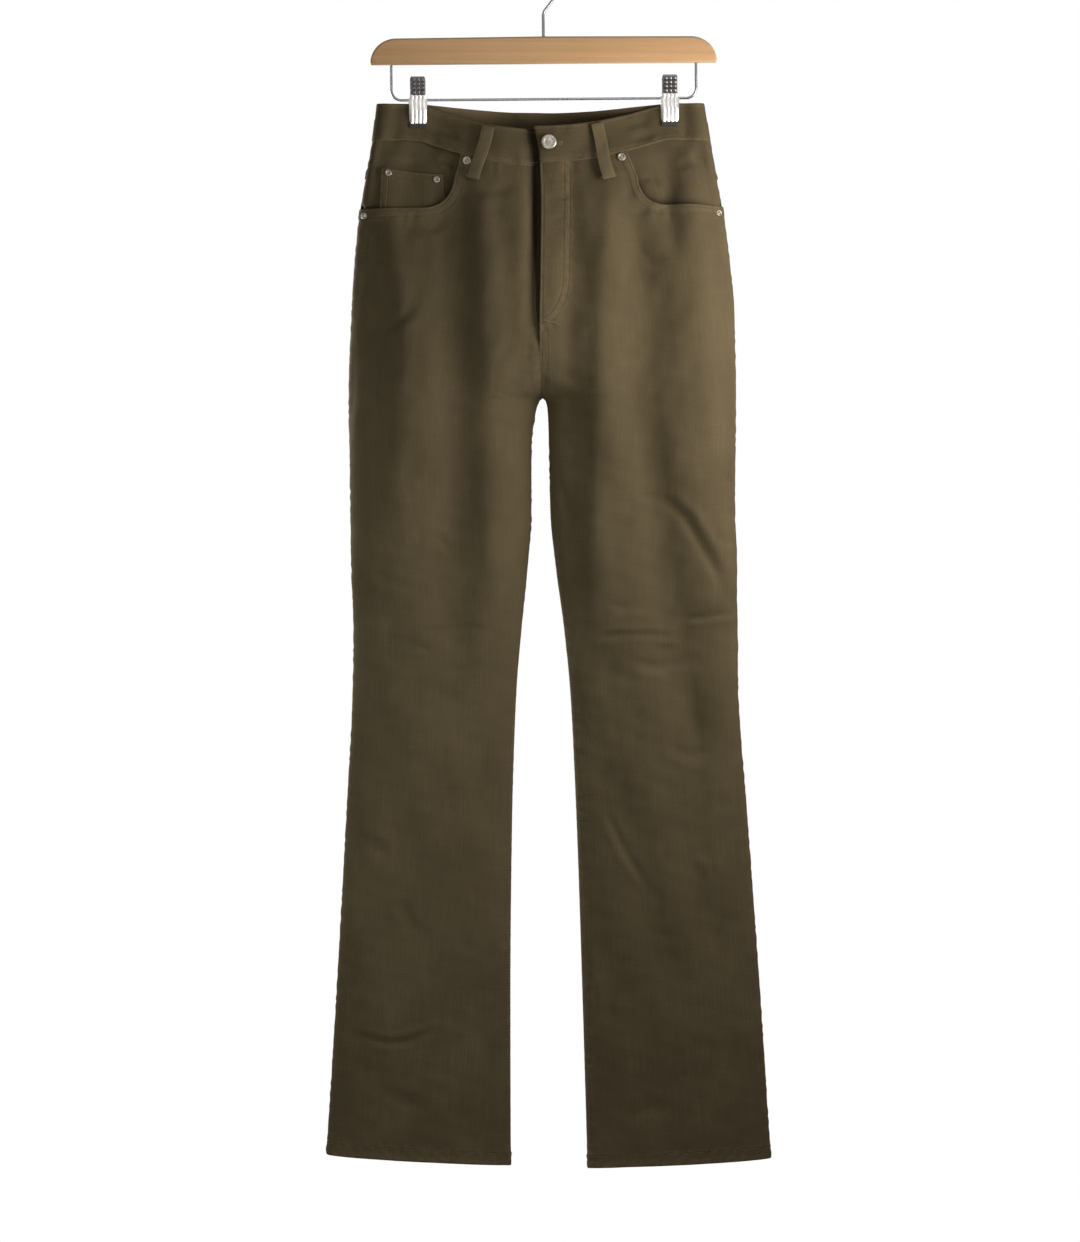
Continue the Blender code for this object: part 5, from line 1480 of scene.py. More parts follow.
# ------------ needlework
@dataclass
class Needlework:
    """All the visible sewing: rows of stitches, bar tacks and the buttonhole."""

    surface: ClothSurface
    stitch: float = 3.3
    thread: float = 0.33
    rows: list = field(default_factory=list)
    tacks: list = field(default_factory=list)

    def along(self, face: Face, leg: Leg, path: Array, lift: float = THREAD_LIFT) -> None:
        """A row of stitches along a path of x and drop on the cloth."""
        path = np.asarray(path, float)
        lengths = np.concatenate([[0.0], np.cumsum(np.hypot(*np.diff(path, axis=0).T))])
        at = np.linspace(0.0, lengths[-1], max(2, int(lengths[-1] / 2.5)))
        x, drop = np.interp(at, lengths, path[:, 0]), np.interp(at, lengths, path[:, 1])
        points = self.surface.laid(face, leg, x, drop, lift)
        self.rows.append((points, self.surface.facing_out(face, leg, x, drop)))

    def down_edge(self, face: Face, leg: Leg, away: float, top: float, bottom: float, inner: bool) -> None:
        """A row of stitches at a length from a panel's inner or outer edge."""
        drop = np.arange(top, bottom, 2.5)
        arcs = self.surface.form.arcs[face, leg]
        run = arcs.width(drop) - away if inner else np.full(drop.shape, away)
        angle = arcs.angle(run, drop)
        points = self.surface.at(face, leg, angle, drop, THREAD_LIFT)
        self.rows.append((points, self.surface.form.normals(face, leg, angle, drop)))

    def on_grid(self, points: Array, up: Array) -> None:
        """A row of stitches through points that are already worked out."""
        self.rows.append((points + up * THREAD_LIFT, up))

    def tack(self, face: Face, leg: Leg, start: tuple, end: tuple) -> None:
        """A bar tack from one point of x and drop to another."""
        share = np.linspace(0, 1, 8)
        x, drop = start[0] + (end[0] - start[0]) * share, start[1] + (end[1] - start[1]) * share
        points = self.surface.laid(face, leg, x, drop, 0.3)
        self.tacks.append((points, self.surface.facing_out(face, leg, x, drop)))

    def offset(self, path: Array, away: float) -> Array:
        """A path moved sideways, to its right as drawn with the drop downwards."""
        way = np.gradient(path, axis=0)
        way /= np.linalg.norm(way, axis=1, keepdims=True)
        return path + np.stack([-way[:, 1], way[:, 0]], axis=1) * away

    def build(self) -> list[Piece]:
        """Makes the rows and the tacks.

        Returns:
            The two finished pieces.
        """
        sizes = dict(radius=self.thread * MM, flatness=0.8, unevenness=0.08)
        running = dict(spacing=self.stitch * MM, length=2.7 * MM, seed=3, **sizes)
        rows = Scatter("stitch rows", across=False).run("topstitching", self.rows, THREAD, **running)
        satin = dict(spacing=0.55 * MM, length=2.6 * MM, seed=5, **sizes)
        tacks = Scatter("bar tacks", across=True).run("bar_tacks", self.tacks, TACKING, **satin)
        return [finished(rows, THREAD, "olive_twill"), finished(tacks, TACKING, "olive_twill")]


# ------------ cloth pieces
class Cut(NamedTuple):
    """The flat size of a cloth piece: width, length, and area where it isn't a rectangle."""

    width: float
    length: float
    area: float | None = None


def cloth_piece(name: str, sheet: Sheet) -> Piece:
    """A hung cloth piece in its solid's place."""
    made = finished(new_object(f"cloth_{name}", sheet.closed(name)), TWILL, "olive_twill", name)
    return made


EDGE_STEPS = (0.0, 0.6, 1.4, 2.4, 3.6, 5.0, 6.6, 8.4, 10.4, 12.6)


@dataclass
class LegPanels:
    """The four leg panels and the two yokes."""

    surface: ClothSurface
    sewing: Needlework
    cloth: float = 1.35
    turned: float = 2.6
    column_step: float = 3.5
    row_step: float = 3.15

    def columns(self, width: float) -> Callable[[Array], Array]:
        """Lengths from the side seam for every column, by the section's width, crowded at both edges."""
        edge = np.array(EDGE_STEPS)
        middle = max(6, round((width - 2 * edge[-1]) / self.column_step))
        share = np.linspace(0, 1, middle + 1)[1:-1]

        def place(total: Array) -> Array:
            """The lengths for sections of those widths, one column after the other."""
            scale = np.minimum(1.0, total / 60.0)
            near = edge * scale[..., None]
            inner = near[..., -1:] + (total[..., None] - 2 * near[..., -1:]) * share
            return np.concatenate([near, inner, total[..., None] - near[..., ::-1]], axis=-1)

        return place

    def grid(self, face: Face, leg: Leg, rows: Sequence[Callable]) -> tuple[Array, Array]:
        """Angles and drops of a panel whose rows follow functions of x."""
        form, arcs = self.surface.form, self.surface.form.arcs[face, leg]
        place = self.columns(float(arcs.width(380.0 if len(rows) > 60 else 60.0)))
        count = place(np.array([200.0])).shape[-1]
        drop = np.stack([np.broadcast_to(row(np.full(count, leg * 100.0)), count) for row in rows])
        index = np.arange(count)
        for _ in range(6):
            every = place(arcs.width(drop).ravel())
            run = every[np.arange(drop.size), np.tile(index, len(rows))].reshape(drop.shape)
            angle = arcs.angle(run, drop)
            x = form.x_at(face, leg, angle, drop)
            drop = np.stack([row(x[k]) + np.zeros(count) for k, row in enumerate(rows)])
        return angle, drop

    def leg_rows(self, leg: Leg, top: Callable) -> list[Callable]:
        """Rows from the top edge to the hem, closer together at the hem."""
        form = self.surface.form
        upper = round((form.crotch - 60.0) / self.row_step)
        rows = [lambda x, s=s: top(x) + (form.crotch - top(x)) * s for s in np.linspace(0, 1, upper + 1)[:-1]]
        depth = form.hem[leg][0] - form.crotch
        near = np.array([0.0, 0.8, 2.0, 3.6, 5.6, 8.0, 10.4, 12.0, 13.2, 14.6, 16.6]) / depth
        lower = round((depth - 17.0) / self.row_step)
        shares = [*np.linspace(0, 1 - near[-1], lower + 1)[:-1], *(1.0 - near[::-1])]
        rows += [lambda x, s=s: form.crotch + (form.hem_edge(leg, x) - form.crotch) * s for s in shares]
        return rows

    def sheet(self, face: Face, leg: Leg, angle: Array, drop: Array, lift: float = 0.0) -> Sheet:
        """The panel's sheet with its marks for the material."""
        form = self.surface.form
        x = form.x_at(face, leg, angle, drop)
        points = self.surface.at(face, leg, angle, drop, lift)
        run, rest, _ = self.surface.quiet(face, leg, angle, drop)
        felled = (drop > form.crotch) | ((leg == L) & ((face == B) | (drop > FLY_END)))
        pair = np.where(felled, rest - PAIR_MIDDLE, NO_SEAM)
        row = np.abs(form.hem_edge(leg, x) - drop - HEM_ROW)
        edges = [rest, np.where(run < 3, run + 3, run), form.hem_edge(leg, x) - drop]
        if face == F:
            away = polyline_distance(scoop_path(leg), x, drop)[0] * leg
            pair = np.where(np.abs(away - PAIR_MIDDLE) < np.abs(pair), away - PAIR_MIDDLE, pair)
            edges.append(np.abs(away))
            if leg == L:
                away = polyline_distance(placket_path(), x, drop)[0]
                near = (away < 40.0) & (drop < FLY_END)
                pair = np.where(near & (np.abs(away - PAIR_HALF) < np.abs(pair)), away - PAIR_HALF, pair)
                row = np.where((drop < 244.0) & (np.abs(rest - 2.4) < row), np.abs(rest - 2.4), row)
                edges.append(np.abs(away - 3.0))
        else:
            away = form.yoke_seam(leg, x) - drop
            beside = away - PAIR_MIDDLE
            pair = np.where((away > 0) & (np.abs(beside) < np.abs(pair)), beside, pair)
            edges.append(np.abs(away - 4.0))
        close = np.min([np.abs(e) for e in edges], axis=0)
        wear = 0.9 * bell(close, 5.5) + 0.35 * bell(close, 14.0)
        # Painted shadow on the wearer's right front where it passes under the fly.
        gap = self.surface.fly_shade(x, drop) if (face, leg) == (F, R) else 0.0
        hem = 1.0 - ease((form.hem_edge(leg, x) - drop - 12.0) / 2.0)
        return Sheet.from_grid(
            points,
            self.cloth + (self.turned - self.cloth) * hem,
            face * leg == 1,
            plan=np.stack([run * leg + 300.0 * face, drop], axis=-1),
            pair_run=np.abs(pair),
            row_run=row,
            wear=np.clip(wear, 0, 1),
            gap=gap,
        )

    def front(self, leg: Leg) -> Sheet:
        """A front with its pocket mouth: points near its edge are drawn onto it, those beyond left out."""
        form = self.surface.form
        rows = self.leg_rows(leg, lambda x: form.band_seam(F, leg, x) - 6.0)
        angle, drop = self.grid(F, leg, rows)
        x = form.x_at(F, leg, angle, drop)
        path = scoop_path(leg)
        away = polyline_distance(path, x, drop)[0] * leg
        kept = away >= 0.0
        grown = np.pad(kept, 1)
        tall, wide = kept.shape
        near = np.any([grown[i : i + tall, j : j + wide] for i in range(3) for j in range(3)], axis=0)
        drawn = near & ~kept
        for _ in range(4):
            east = polyline_distance(path, x + 0.1, drop)[0] * leg
            south = polyline_distance(path, x, drop + 0.1)[0] * leg
            slope = np.stack([(east - away) / 0.1, (south - away) / 0.1], axis=-1)
            size = np.maximum(np.sum(slope**2, axis=-1), 0.2)
            x = np.where(drawn, x - away * slope[..., 0] / size, x)
            drop = np.where(drawn, drop - away * slope[..., 1] / size, drop)
            away = polyline_distance(path, x, drop)[0] * leg
        side = form.outer_x(leg, drop)
        x = np.where(drawn, leg * np.minimum(leg * x, leg * side - 0.005), x)
        angle = np.where(drawn, form.angle_at(F, leg, x, drop), angle)
        sheet = self.sheet(F, leg, angle, drop)
        sheet.quads = sheet.quads[kept.reshape(-1)[sheet.quads].any(axis=1)]
        return compact(sheet)

    def build(self) -> list[Piece]:
        """Makes the panels and their stitching.

        Returns:
            The six finished pieces.
        """
        form, made = self.surface.form, []
        for leg, word in WORDS.items():
            made.append(cloth_piece(f"front_{word}", self.front(leg)))
            rows = self.leg_rows(leg, lambda x, leg=leg: form.yoke_seam(leg, x) - 5.0)
            angle, drop = self.grid(B, leg, rows)
            made.append(cloth_piece(f"back_{word}", self.sheet(B, leg, angle, drop)))
            shares = np.concatenate([np.linspace(0, 0.8, 18), np.linspace(0.8, 1.0, 9)[1:]])
            rows = [
                lambda x, s=s, leg=leg: (1 - s) * (form.band_seam(B, leg, x) - 5.0)
                + s * form.yoke_seam(leg, x)
                for s in shares
            ]
            angle, drop = self.grid(B, leg, rows)
            seam = form.yoke_seam(leg, form.x_at(B, leg, angle, drop))
            raised = 0.25 + 0.75 * ease((drop - seam + 14.0) / 8.0)
            made.append(cloth_piece(f"yoke_{word}", self.sheet(B, leg, angle, drop, raised)))
            self.stitch(leg)
        return made

    def stitch(self, leg: Leg) -> None:
        """Rows of stitches on one leg's front, back and yoke."""
        form, sewing = self.surface.form, self.sewing
        bottom = form.hem[leg][0] - 1.0
        for away in ROWS:
            sewing.down_edge(F, leg, away, form.crotch + 6.0, bottom, True)
            sewing.along(F, leg, mouth_row(form, leg, away))
            x = np.linspace(leg * 0.5, float(form.outer_x(leg, form.yoke_side)) - leg * 4.0, 60)
            sewing.along(B, leg, np.stack([x, form.yoke_seam(leg, x) - away], axis=1), 1.15)
        if leg == L:
            for away in ROWS:
                sewing.down_edge(B, L, away, 54.0, form.crotch - 2.0, True)
                sewing.down_edge(F, L, away, 250.0, form.crotch - 2.0, True)
            for away in (0.0, 6.3):
                sewing.along(F, L, sewing.offset(placket_path(), away)[: -1 if away else None])
            sewing.down_edge(F, L, 2.4, 66.0, 240.0, True)
            sewing.tack(F, L, (1.5, 236.0), (19.0, 240.0))
        for face in Face:
            run = np.linspace(1.0, float(form.arcs[face, leg].width(1135.0)) - 1.0, 90)
            drop = np.full(run.shape, 1130.0)
            for _ in range(4):
                angle = form.arcs[face, leg].angle(run, drop)
                drop = form.hem_edge(leg, form.x_at(face, leg, angle, drop)) - HEM_ROW
            sewing.on_grid(self.surface.at(face, leg, angle, drop), form.normals(face, leg, angle, drop))


def compact(sheet: Sheet) -> Sheet:
    """The sheet without the points that no face uses."""
    used = np.zeros(len(sheet.points), bool)
    used[sheet.quads.ravel()] = True
    number = np.cumsum(used) - 1
    return Sheet(
        sheet.points[used],
        number[sheet.quads],
        sheet.thickness[used],
        {name: values[used] for name, values in sheet.marks.items()},
        None if sheet.plan is None else sheet.plan[used],
    )


@dataclass
class Waistband:
    """The waistband, one strip from under the fly, round the back, to the buttoned end."""

    surface: ClothSurface
    sewing: Needlework
    cloth: float = 2.6
    lift: float = 1.0
    step: float = 3.0
    lap: float = 26.0
    edge_row: float = 2.6

    def shares(self) -> Array:
        """Where the strip's rows lie, from its top edge to its seam."""
        height, v = self.surface.form.band_height, np.array([0.0, 0.7, 1.7, 3.0, 4.3, 6.0])
        middle = np.linspace(v[-1], height - v[-1], 10)[1:-1]
        return np.concatenate([v, middle, height - v[::-1]]) / height

    def run(self, face: Face, leg: Leg, beyond: float = 0.0) -> tuple[Array, Array, Array, Array]:
        """One quarter of the strip from the side seam, with the length along it.

        Args:
            face: Front or back.
            leg: The wearer's side.
            beyond: How far it carries on past the centre.

        Returns:
            Points, normals, x and drop, each with a row for each share.
        """
        form = self.surface.form
        end = math.pi / 2
        if beyond:
            end = float(form.angle_at(face, leg, np.array(-leg * beyond), np.array(30.0)))
        fine = np.linspace(0, end, 500)
        line = form.points(face, leg, fine, np.full(500, 22.0))
        length = np.concatenate([[0.0], np.cumsum(np.linalg.norm(np.diff(line, axis=0), axis=1))])
        angles = np.interp(np.linspace(0, length[-1], max(8, round(length[-1] / self.step))), length, fine)
        shares = self.shares()
        angle = np.broadcast_to(angles, (len(shares), len(angles)))
        drop = np.full(angle.shape, 20.0)
        for _ in range(5):
            x = form.x_at(face, leg, angle, drop)
            drop = form.band_top(face, leg, x) + form.band_height * shares[:, None]
        run = form.arcs[face, leg].run(angle, drop)
        calm = ease(run / 14.0) * ease((math.pi / 2 - angle + 0.3) / 0.3)
        across = form.band_height * shares[:, None]
        swell = 0.4 * np.sin(math.pi * shares[:, None])
        swell = swell + 0.42 * pucker(x, 3.1 + face, 16.0) * bell(across - 33.0, 6.0)
        swell = swell + 0.3 * pucker(x, 1.1 + face, 13.0) * bell(across - 5.0, 5.0)
        own = calm * self.surface.creased(face, leg, x, drop) + swell * calm
        out = form.normals(face, leg, angle, drop)
        return form.points(face, leg, angle, drop) + out * (own + self.lift)[..., None], out, x, drop

    def build(self) -> list[Piece]:
        """Makes the strip and its stitches.

        Returns:
            The finished piece.
        """
        quarters = [self.run(F, R, self.lap), self.run(B, R), self.run(B, L), self.run(F, L)]
        parts = []
        for k, quarter in enumerate(quarters):
            turned = [a[:, ::-1] for a in quarter] if k in (0, 2) else list(quarter)
            cut = 1 if k else 0
            parts.append([a[:, cut:] for a in turned])
        points, out, x, drop = (np.concatenate([p[k] for p in parts], axis=1) for k in range(4))
        height = self.surface.form.band_height
        levels = self.shares() * height
        across = np.broadcast_to(levels[:, None], x.shape)
        step = np.linalg.norm(np.diff(points[8], axis=0), axis=1)
        length = np.concatenate([[0.0], np.cumsum(step)])
        rows = (self.edge_row, height - self.edge_row)
        row = np.minimum(*(np.abs(across - level) for level in rows))
        wear = 0.9 * bell(np.minimum(across, height - across), 4.5)
        under = np.arange(x.shape[1])[None, :] < parts[0][0].shape[1]
        sheet = Sheet.from_grid(
            points,
            self.cloth,
            False,
            plan=np.stack([across + 700.0, np.broadcast_to(length, x.shape)], axis=-1),
            pair_run=NO_SEAM,
            row_run=row,
            wear=np.clip(wear, 0, 1),
            # Painted shadow on the end of the strip that lies under the fly's lap.
            gap=np.where(under, self.surface.fly_shade(x, drop), 0.0),
        )
        made = cloth_piece("waistband", sheet)
        for level in rows:
            k = int(np.searchsorted(levels, level)) - 1
            t = (level - levels[k]) / (levels[k + 1] - levels[k])
            line = points[k] * (1 - t) + points[k + 1] * t
            self.sewing.on_grid(line, out[k])
        self.sewing.on_grid(points[2:-2, -1] * 0.45 + points[2:-2, -2] * 0.55, out[2:-2, -1])
        return [made]


@dataclass
class BeltLoops:
    """Five belt loops that stand a little off the waistband."""

    surface: ClothSurface
    sewing: Needlework
    width: float = 12.0
    cloth: float = 1.5
    foot: float = 1.6
    stand: float = 2.0
    places: tuple = (
        ("belt_loop_front_right", F, -58.0, 25.5, -74.0, 83.0),
        ("belt_loop_front_left", F, 57.0, 22.5, 71.0, 83.0),
        ("belt_loop_back_right", B, -96.0, 8.0, -99.0, 67.0),
        ("belt_loop_back_left", B, 96.0, 8.0, 99.0, 67.0),
        ("belt_loop_centre_back", B, 0.0, 12.5, 0.0, 71.0),
    )

    def build(self) -> list[Piece]:
        """Makes the loops, their two rows of stitches and their tacks.

        Returns:
            The five finished pieces.
        """
        made = []
        for seed, (name, face, x_top, top, x_bottom, bottom) in enumerate(self.places):
            along = np.linspace(0, 1, 30)[:, None]
            profile = np.array([-0.5, -0.44, -0.34, -0.24, -0.1, 0.1, 0.24, 0.34, 0.44, 0.5])
            across = profile[None, :] * self.width
            x = x_top + (x_bottom - x_top) * along + across
            x = x + 0.8 * np.sin(along * 5.0 + seed)
            lean = math.atan2(x_bottom - x_top, bottom - top)
            drop = top + (bottom - top) * along - across * math.tan(lean)
            stand = self.foot + self.stand * np.clip(np.sin(math.pi * along), 0, 1) ** 0.6
            ridge = 0.3 * bell(np.abs(across) - 2.4, 1.6) + 0.12 * np.sin(along * 23.0 + across * 0.2 + seed)
            lift = stand + ridge + self.cloth
            columns = []
            for c in range(len(profile)):
                leg = (R if x[0, c] < 0 else L) if abs(x_bottom) > 1 else (R if profile[c] < 0 else L)
                columns.append(self.surface.laid(face, leg, x[:, c], drop[:, c], lift[:, c], panel=False))
            points = np.stack(columns, axis=1)
            sheet = Sheet.from_grid(
                points,
                self.cloth,
                face == B,
                plan=np.stack(np.broadcast_arrays(across + 60.0 * seed, drop + 900.0), axis=-1),
                pair_run=np.broadcast_to(np.abs(across), x.shape) - 1.2,
                row_run=NO_SEAM,
                wear=np.clip(np.broadcast_to(0.9 * bell(np.abs(across) - 6.0, 1.6), x.shape), 0, 1),
            )
            made.append(cloth_piece(name, sheet))
            flip = 1.0 if face == F else -1.0
            normal = np.cross(points[1:, 5] - points[:-1, 5], points[:-1, 6] - points[:-1, 5]) * flip
            normal /= np.linalg.norm(normal, axis=1, keepdims=True)
            normal = np.vstack([normal, normal[-1:]])
            if np.mean(normal[:, 1]) * face < 0:
                normal = -normal
            for c in (1, 8):
                self.sewing.on_grid(points[1:-1, c], normal[1:-1])
            for r in (1, 28):
                line = points[r, 1:-1]
                if r == 28 and face == F:
                    line = points[r] + (points[r] - points[r].mean(axis=0)) * 0.32
                up = np.repeat(normal[r][None], len(line), axis=0)
                self.sewing.tacks.append((line + normal[r] * 0.4, up))
        return made


@dataclass
class Pockets:
    """Facings behind the front pocket mouths, the watch pocket and the two patch pockets."""

    surface: ClothSurface
    sewing: Needlework
    cloth: float = 1.2
    margin: float = 11.0
    lie: dict = field(default_factory=lambda: {R: 3.2, L: 2.0})
    watch: tuple = ((-174.0, 69.0), (-108.0, 77.0), (-105.0, 121.0), (-177.0, 121.0))
    patch_top: float = 142.0
    patch_bottom: float = 262.0
    patch_point: float = 16.0
    patch_inner: float = 30.0
    patch_outer: float = 156.0
    patch_taper: float = 6.0
    patch_tilt: float = 5.0

    def facing(self, leg: Leg, word: str) -> Piece:
        """The cloth that shows in a pocket mouth, level with the back panel at the side seam."""
        form, arcs = self.surface.form, self.surface.form.arcs[F, leg]
        scoop = SCOOPS[leg]
        rows, columns = 34, 46
        share = np.linspace(0, 1, rows)[:, None]
        angle = np.zeros((rows, columns)) + 0.5
        drop = np.full((rows, columns), 80.0)
        for _ in range(6):
            x = form.x_at(F, leg, angle, drop)
            top = form.band_seam(F, leg, x) - 5.0
            drop = top + (scoop.level + self.margin - top) * share
            inner = scoop.top_x + leg * (scoop.lean * share[:, 0] - self.margin)
            end = arcs.run(form.angle_at(F, leg, inner, drop[:, -1]), drop[:, -1])
            angle = arcs.angle(np.linspace(0, 1, columns)[None, :] ** 0.9 * end[:, None], drop)
        x = form.x_at(F, leg, angle, drop)
        run = arcs.run(angle, drop)
        under = ease((np.abs(form.outer_x(leg, drop) - x) - 1.0) / 10.0)
        under = np.maximum(under, ease((drop - scoop.level + 7.0) / 6.0))
        edge = self.surface.side_seam(leg, run, drop) * (1.0 - under)
        inside, along = polyline_distance(scoop_path(leg), x, drop)
        # This bell adds no lift: it is painted shadow just inside the pocket mouth's edge.
        gape = 0.8 * bell(inside * leg + 1.0, 5.5) * ease((along - 0.3) / 0.15) * ease((0.85 - along) / 0.25)
        points = self.surface.at(F, leg, angle, drop, edge - self.lie[leg] * under, panel=False)
        sheet = Sheet.from_grid(
            points,
            self.cloth,
            F * leg == 1,
            plan=np.stack([run * leg + 1200.0, drop], axis=-1),
            pair_run=NO_SEAM,
            row_run=NO_SEAM,
            wear=0.3 * bell(run, 6.0),
            gap=gape,
        )
        return cloth_piece(f"pocket_facing_{word}", sheet)

    def watch_pocket(self) -> Piece:
        """The small pocket on the wearer's right facing."""
        corner = np.array(self.watch)
        rows, columns = 22, 30
        v, u = np.linspace(0, 1, rows)[:, None, None], np.linspace(0, 1, columns)[None, :, None]
        plan = (corner[0] * (1 - u) + corner[1] * u) * (1 - v) + (corner[3] * (1 - u) + corner[2] * u) * v
        plan[..., 1] += 1.6 * np.sin(math.pi * u[..., 0]) * (1 - v[..., 0])
        x, drop = plan[..., 0], plan[..., 1]
        top = 48.0 * v[..., 0] + 0.0 * u[..., 0]
        side = 70.0 * u[..., 0] + 0.0 * v[..., 0]
        gape = 0.7 * np.sin(math.pi * u[..., 0]) * (1 - ease(v[..., 0] / 0.4))
        seam = 0.4 * (1 - ease((side - 6.0) / 3.0)) + 0.45 * (1 - ease((top - 9.0) / 3.0))
        lift = -self.lie[R] + 1.45 + gape + seam + 0.18 * pucker(side, 0.4, 9.0) * bell(top - 10.0, 4.0)
        points = self.surface.laid(F, R, x, drop, lift, panel=False)
        sheet = Sheet.from_grid(
            points,
            1.1,
            True,
            plan=np.stack([side + 1600.0, top], axis=-1),
            pair_run=np.where(
                side - PAIR_MIDDLE < np.abs(top - PAIR_MIDDLE), side - PAIR_MIDDLE, top - PAIR_MIDDLE
            ),
            row_run=NO_SEAM,
            wear=np.clip(bell(np.minimum(side, top), 4.0), 0, 1),
        )
        made = cloth_piece("watch_pocket", sheet)
        up = self.surface.facing_out(F, R, x, drop)
        for k in (1, 4):
            self.sewing.on_grid(points[k, 1:-1], up[k, 1:-1])
        for k in (1, 4):
            self.sewing.on_grid(points[1:-2, k], up[1:-2, k])
        return made

    def patch_pocket(self, leg: Leg, word: str) -> Piece:
        """A pointed five-sided back pocket with a hemmed mouth."""
        edge = np.array([0.0, 0.7, 1.8, 3.2, 5.0, 7.4, 9.4, 11.4])
        width, height = self.patch_outer - self.patch_inner, self.patch_bottom - self.patch_top
        half = width / 2
        left = np.concatenate([edge, np.linspace(11.4, half, 15)[1:]]) / width
        u = np.concatenate([left, 1.0 - left[::-1][1:]])[None, :]
        hem = np.array([0.0, 0.8, 2.0, 4.0, 7.0, 10.0, 13.0, 14.6, 16.4])
        body = np.linspace(hem[-1], height - edge[-1], 30)[1:]
        down = np.concatenate([hem, body, height - edge[::-1][1:]])
        v = (down / height)[:, None]
        x = leg * (self.patch_inner + self.patch_taper * v + (width - 2 * self.patch_taper * v) * u)
        tilt = self.patch_tilt * (1 - 2 * u)
        top = self.patch_top + tilt + 2.4 * np.sin(math.pi * u)
        bottom = self.patch_bottom + tilt + self.patch_point * (1 - np.abs(2 * u - 1))
        drop = top + (bottom - top) * v
        side = np.minimum(u, 1 - u) * width
        near = np.minimum(side, (bottom - drop) * 0.97)
        mouth = (drop - top) + 0.0 * u
        seam = 0.45 * (1 - ease((near - 9.0) / 3.0)) + 0.45 * (1 - ease((mouth - 14.0) / 3.0))
        ripple = 0.3 * pucker(drop + side, 1.9, 12.0) * bell(near - 11.0, 5.0)
        slack = 2.2 * np.sin(math.pi * u) * (1 - ease(v / 0.5)) ** 1.2
        points = self.surface.laid(B, leg, x, drop, 1.7 + seam + ripple + slack, panel=False)
        sheet = Sheet.from_grid(
            points,
            1.5,
            leg == R,
            plan=np.stack([x + 2000.0 * leg, drop], axis=-1),
            pair_run=near - PAIR_MIDDLE,
            row_run=np.abs(mouth - 13.4),
            wear=np.clip(0.9 * bell(np.minimum(near, mouth), 5.0), 0, 1),
        )
        made = cloth_piece(f"patch_pocket_{word}", sheet)
        grid = self.surface.facing_out(B, leg, x, drop)
        count = u.shape[1]
        for away in (2.2, 8.4):
            k = int(np.argmin(np.abs(edge - away)))
            rows = slice(1, len(down) - k)
            for c in (k, count - 1 - k):
                self.sewing.on_grid(points[rows, c], grid[rows, c])
            columns = slice(k, count - k)
            self.sewing.on_grid(points[-1 - k, columns], grid[-1 - k, columns])
        self.sewing.on_grid(points[6, 2:-2], grid[6, 2:-2])
        for c in (1, count - 7):
            line = points[1, c : c + 6]
            self.sewing.tacks.append((line + grid[1, c] * 0.2, np.repeat(grid[1, c][None], 6, axis=0)))
        return made

    def build(self) -> list[Piece]:
        """Makes all the pockets.

        Returns:
            The five finished pieces.
        """
        made = [self.facing(leg, word) for leg, word in WORDS.items()]
        made.append(self.watch_pocket())
        made += [self.patch_pocket(leg, word) for leg, word in WORDS.items()]
        return made


@dataclass
class Fly:
    """The shield under the fly, the zip on it and the buttonhole's edge."""

    surface: ClothSurface
    sewing: Needlework
    shield_lap: float = 30.0
    top: float = 69.5
    bottom: float = 226.0

    def strip(self, drops: Array, away: Array, lift: float, cloth: float, **marks: float) -> Sheet:
        """A plain strip by its drops, its distances from the fly's edge, and its lift."""
        x = self.surface.form.fly_edge(drops[:, None]) + away[None, :]
        points = self.surface.laid(F, R, x, drops[:, None], lift, panel=False)
        plan = np.stack(np.broadcast_arrays(x, drops[:, None]), axis=-1)
        return Sheet.from_grid(points, cloth, False, plan=plan, pair_run=NO_SEAM, row_run=NO_SEAM, **marks)

    def build(self) -> list[Piece]:
        """Makes the shield, the zip's tape and its teeth.

        Returns:
            The finished pieces.
        """
        drops, away = np.linspace(self.top, self.bottom, 60), np.linspace(-4.0, self.shield_lap, 14)
        # The whole shield is painted dark with shadow, as it lies deep beside the fly's edge.
        sheet = self.strip(drops, away, -0.7, 1.4, wear=0.0, gap=0.95)
        shield = cloth_piece("fly_shield", sheet)
        sheet = self.strip(np.linspace(72.0, 204.0, 50), np.linspace(3.0, 17.0, 8), 1.1, 0.8, wear=0.0)
        tape = new_object("zip_tape_woven", sheet.closed("zip tape"))
        finished(tape, TAPE, "zip_brass", "zip_tape")
        rows = []
        for away, shift in ((8.6, 0.0), (11.2, 1.1)):
            drop = np.arange(74.0 + shift, 202.0, 2.2)
            x = self.surface.form.fly_edge(drop) + away
            points = self.surface.laid(F, R, x, drop, 1.6, panel=False)
            rows.append((points, self.surface.facing_out(F, R, x, drop)))
        sizes = dict(length=3.4 * MM, radius=0.75 * MM, flatness=0.8, unevenness=0.0, seed=1)
        teeth = Scatter("zip teeth", across=True)
        chain = teeth.run("zip_teeth", rows, BRASS, spacing=2.2 * MM, **sizes)
        finished(chain, BRASS, "zip_brass")
        x = np.linspace(-1.0, 21.0, 24)
        for shift in (-1.1, 1.1):
            self.sewing.tacks.append(self.edge_of_hole(x, 43.5 + shift))
        return [shield, tape, chain]

    def edge_of_hole(self, x: Array, drop: float) -> tuple[Array, Array]:
        """One lip of the buttonhole on the waistband."""
        drop = np.full(x.shape, drop)
        return self.surface.laid(F, L, x, drop, 1.45, panel=False), self.surface.facing_out(F, L, x, drop)


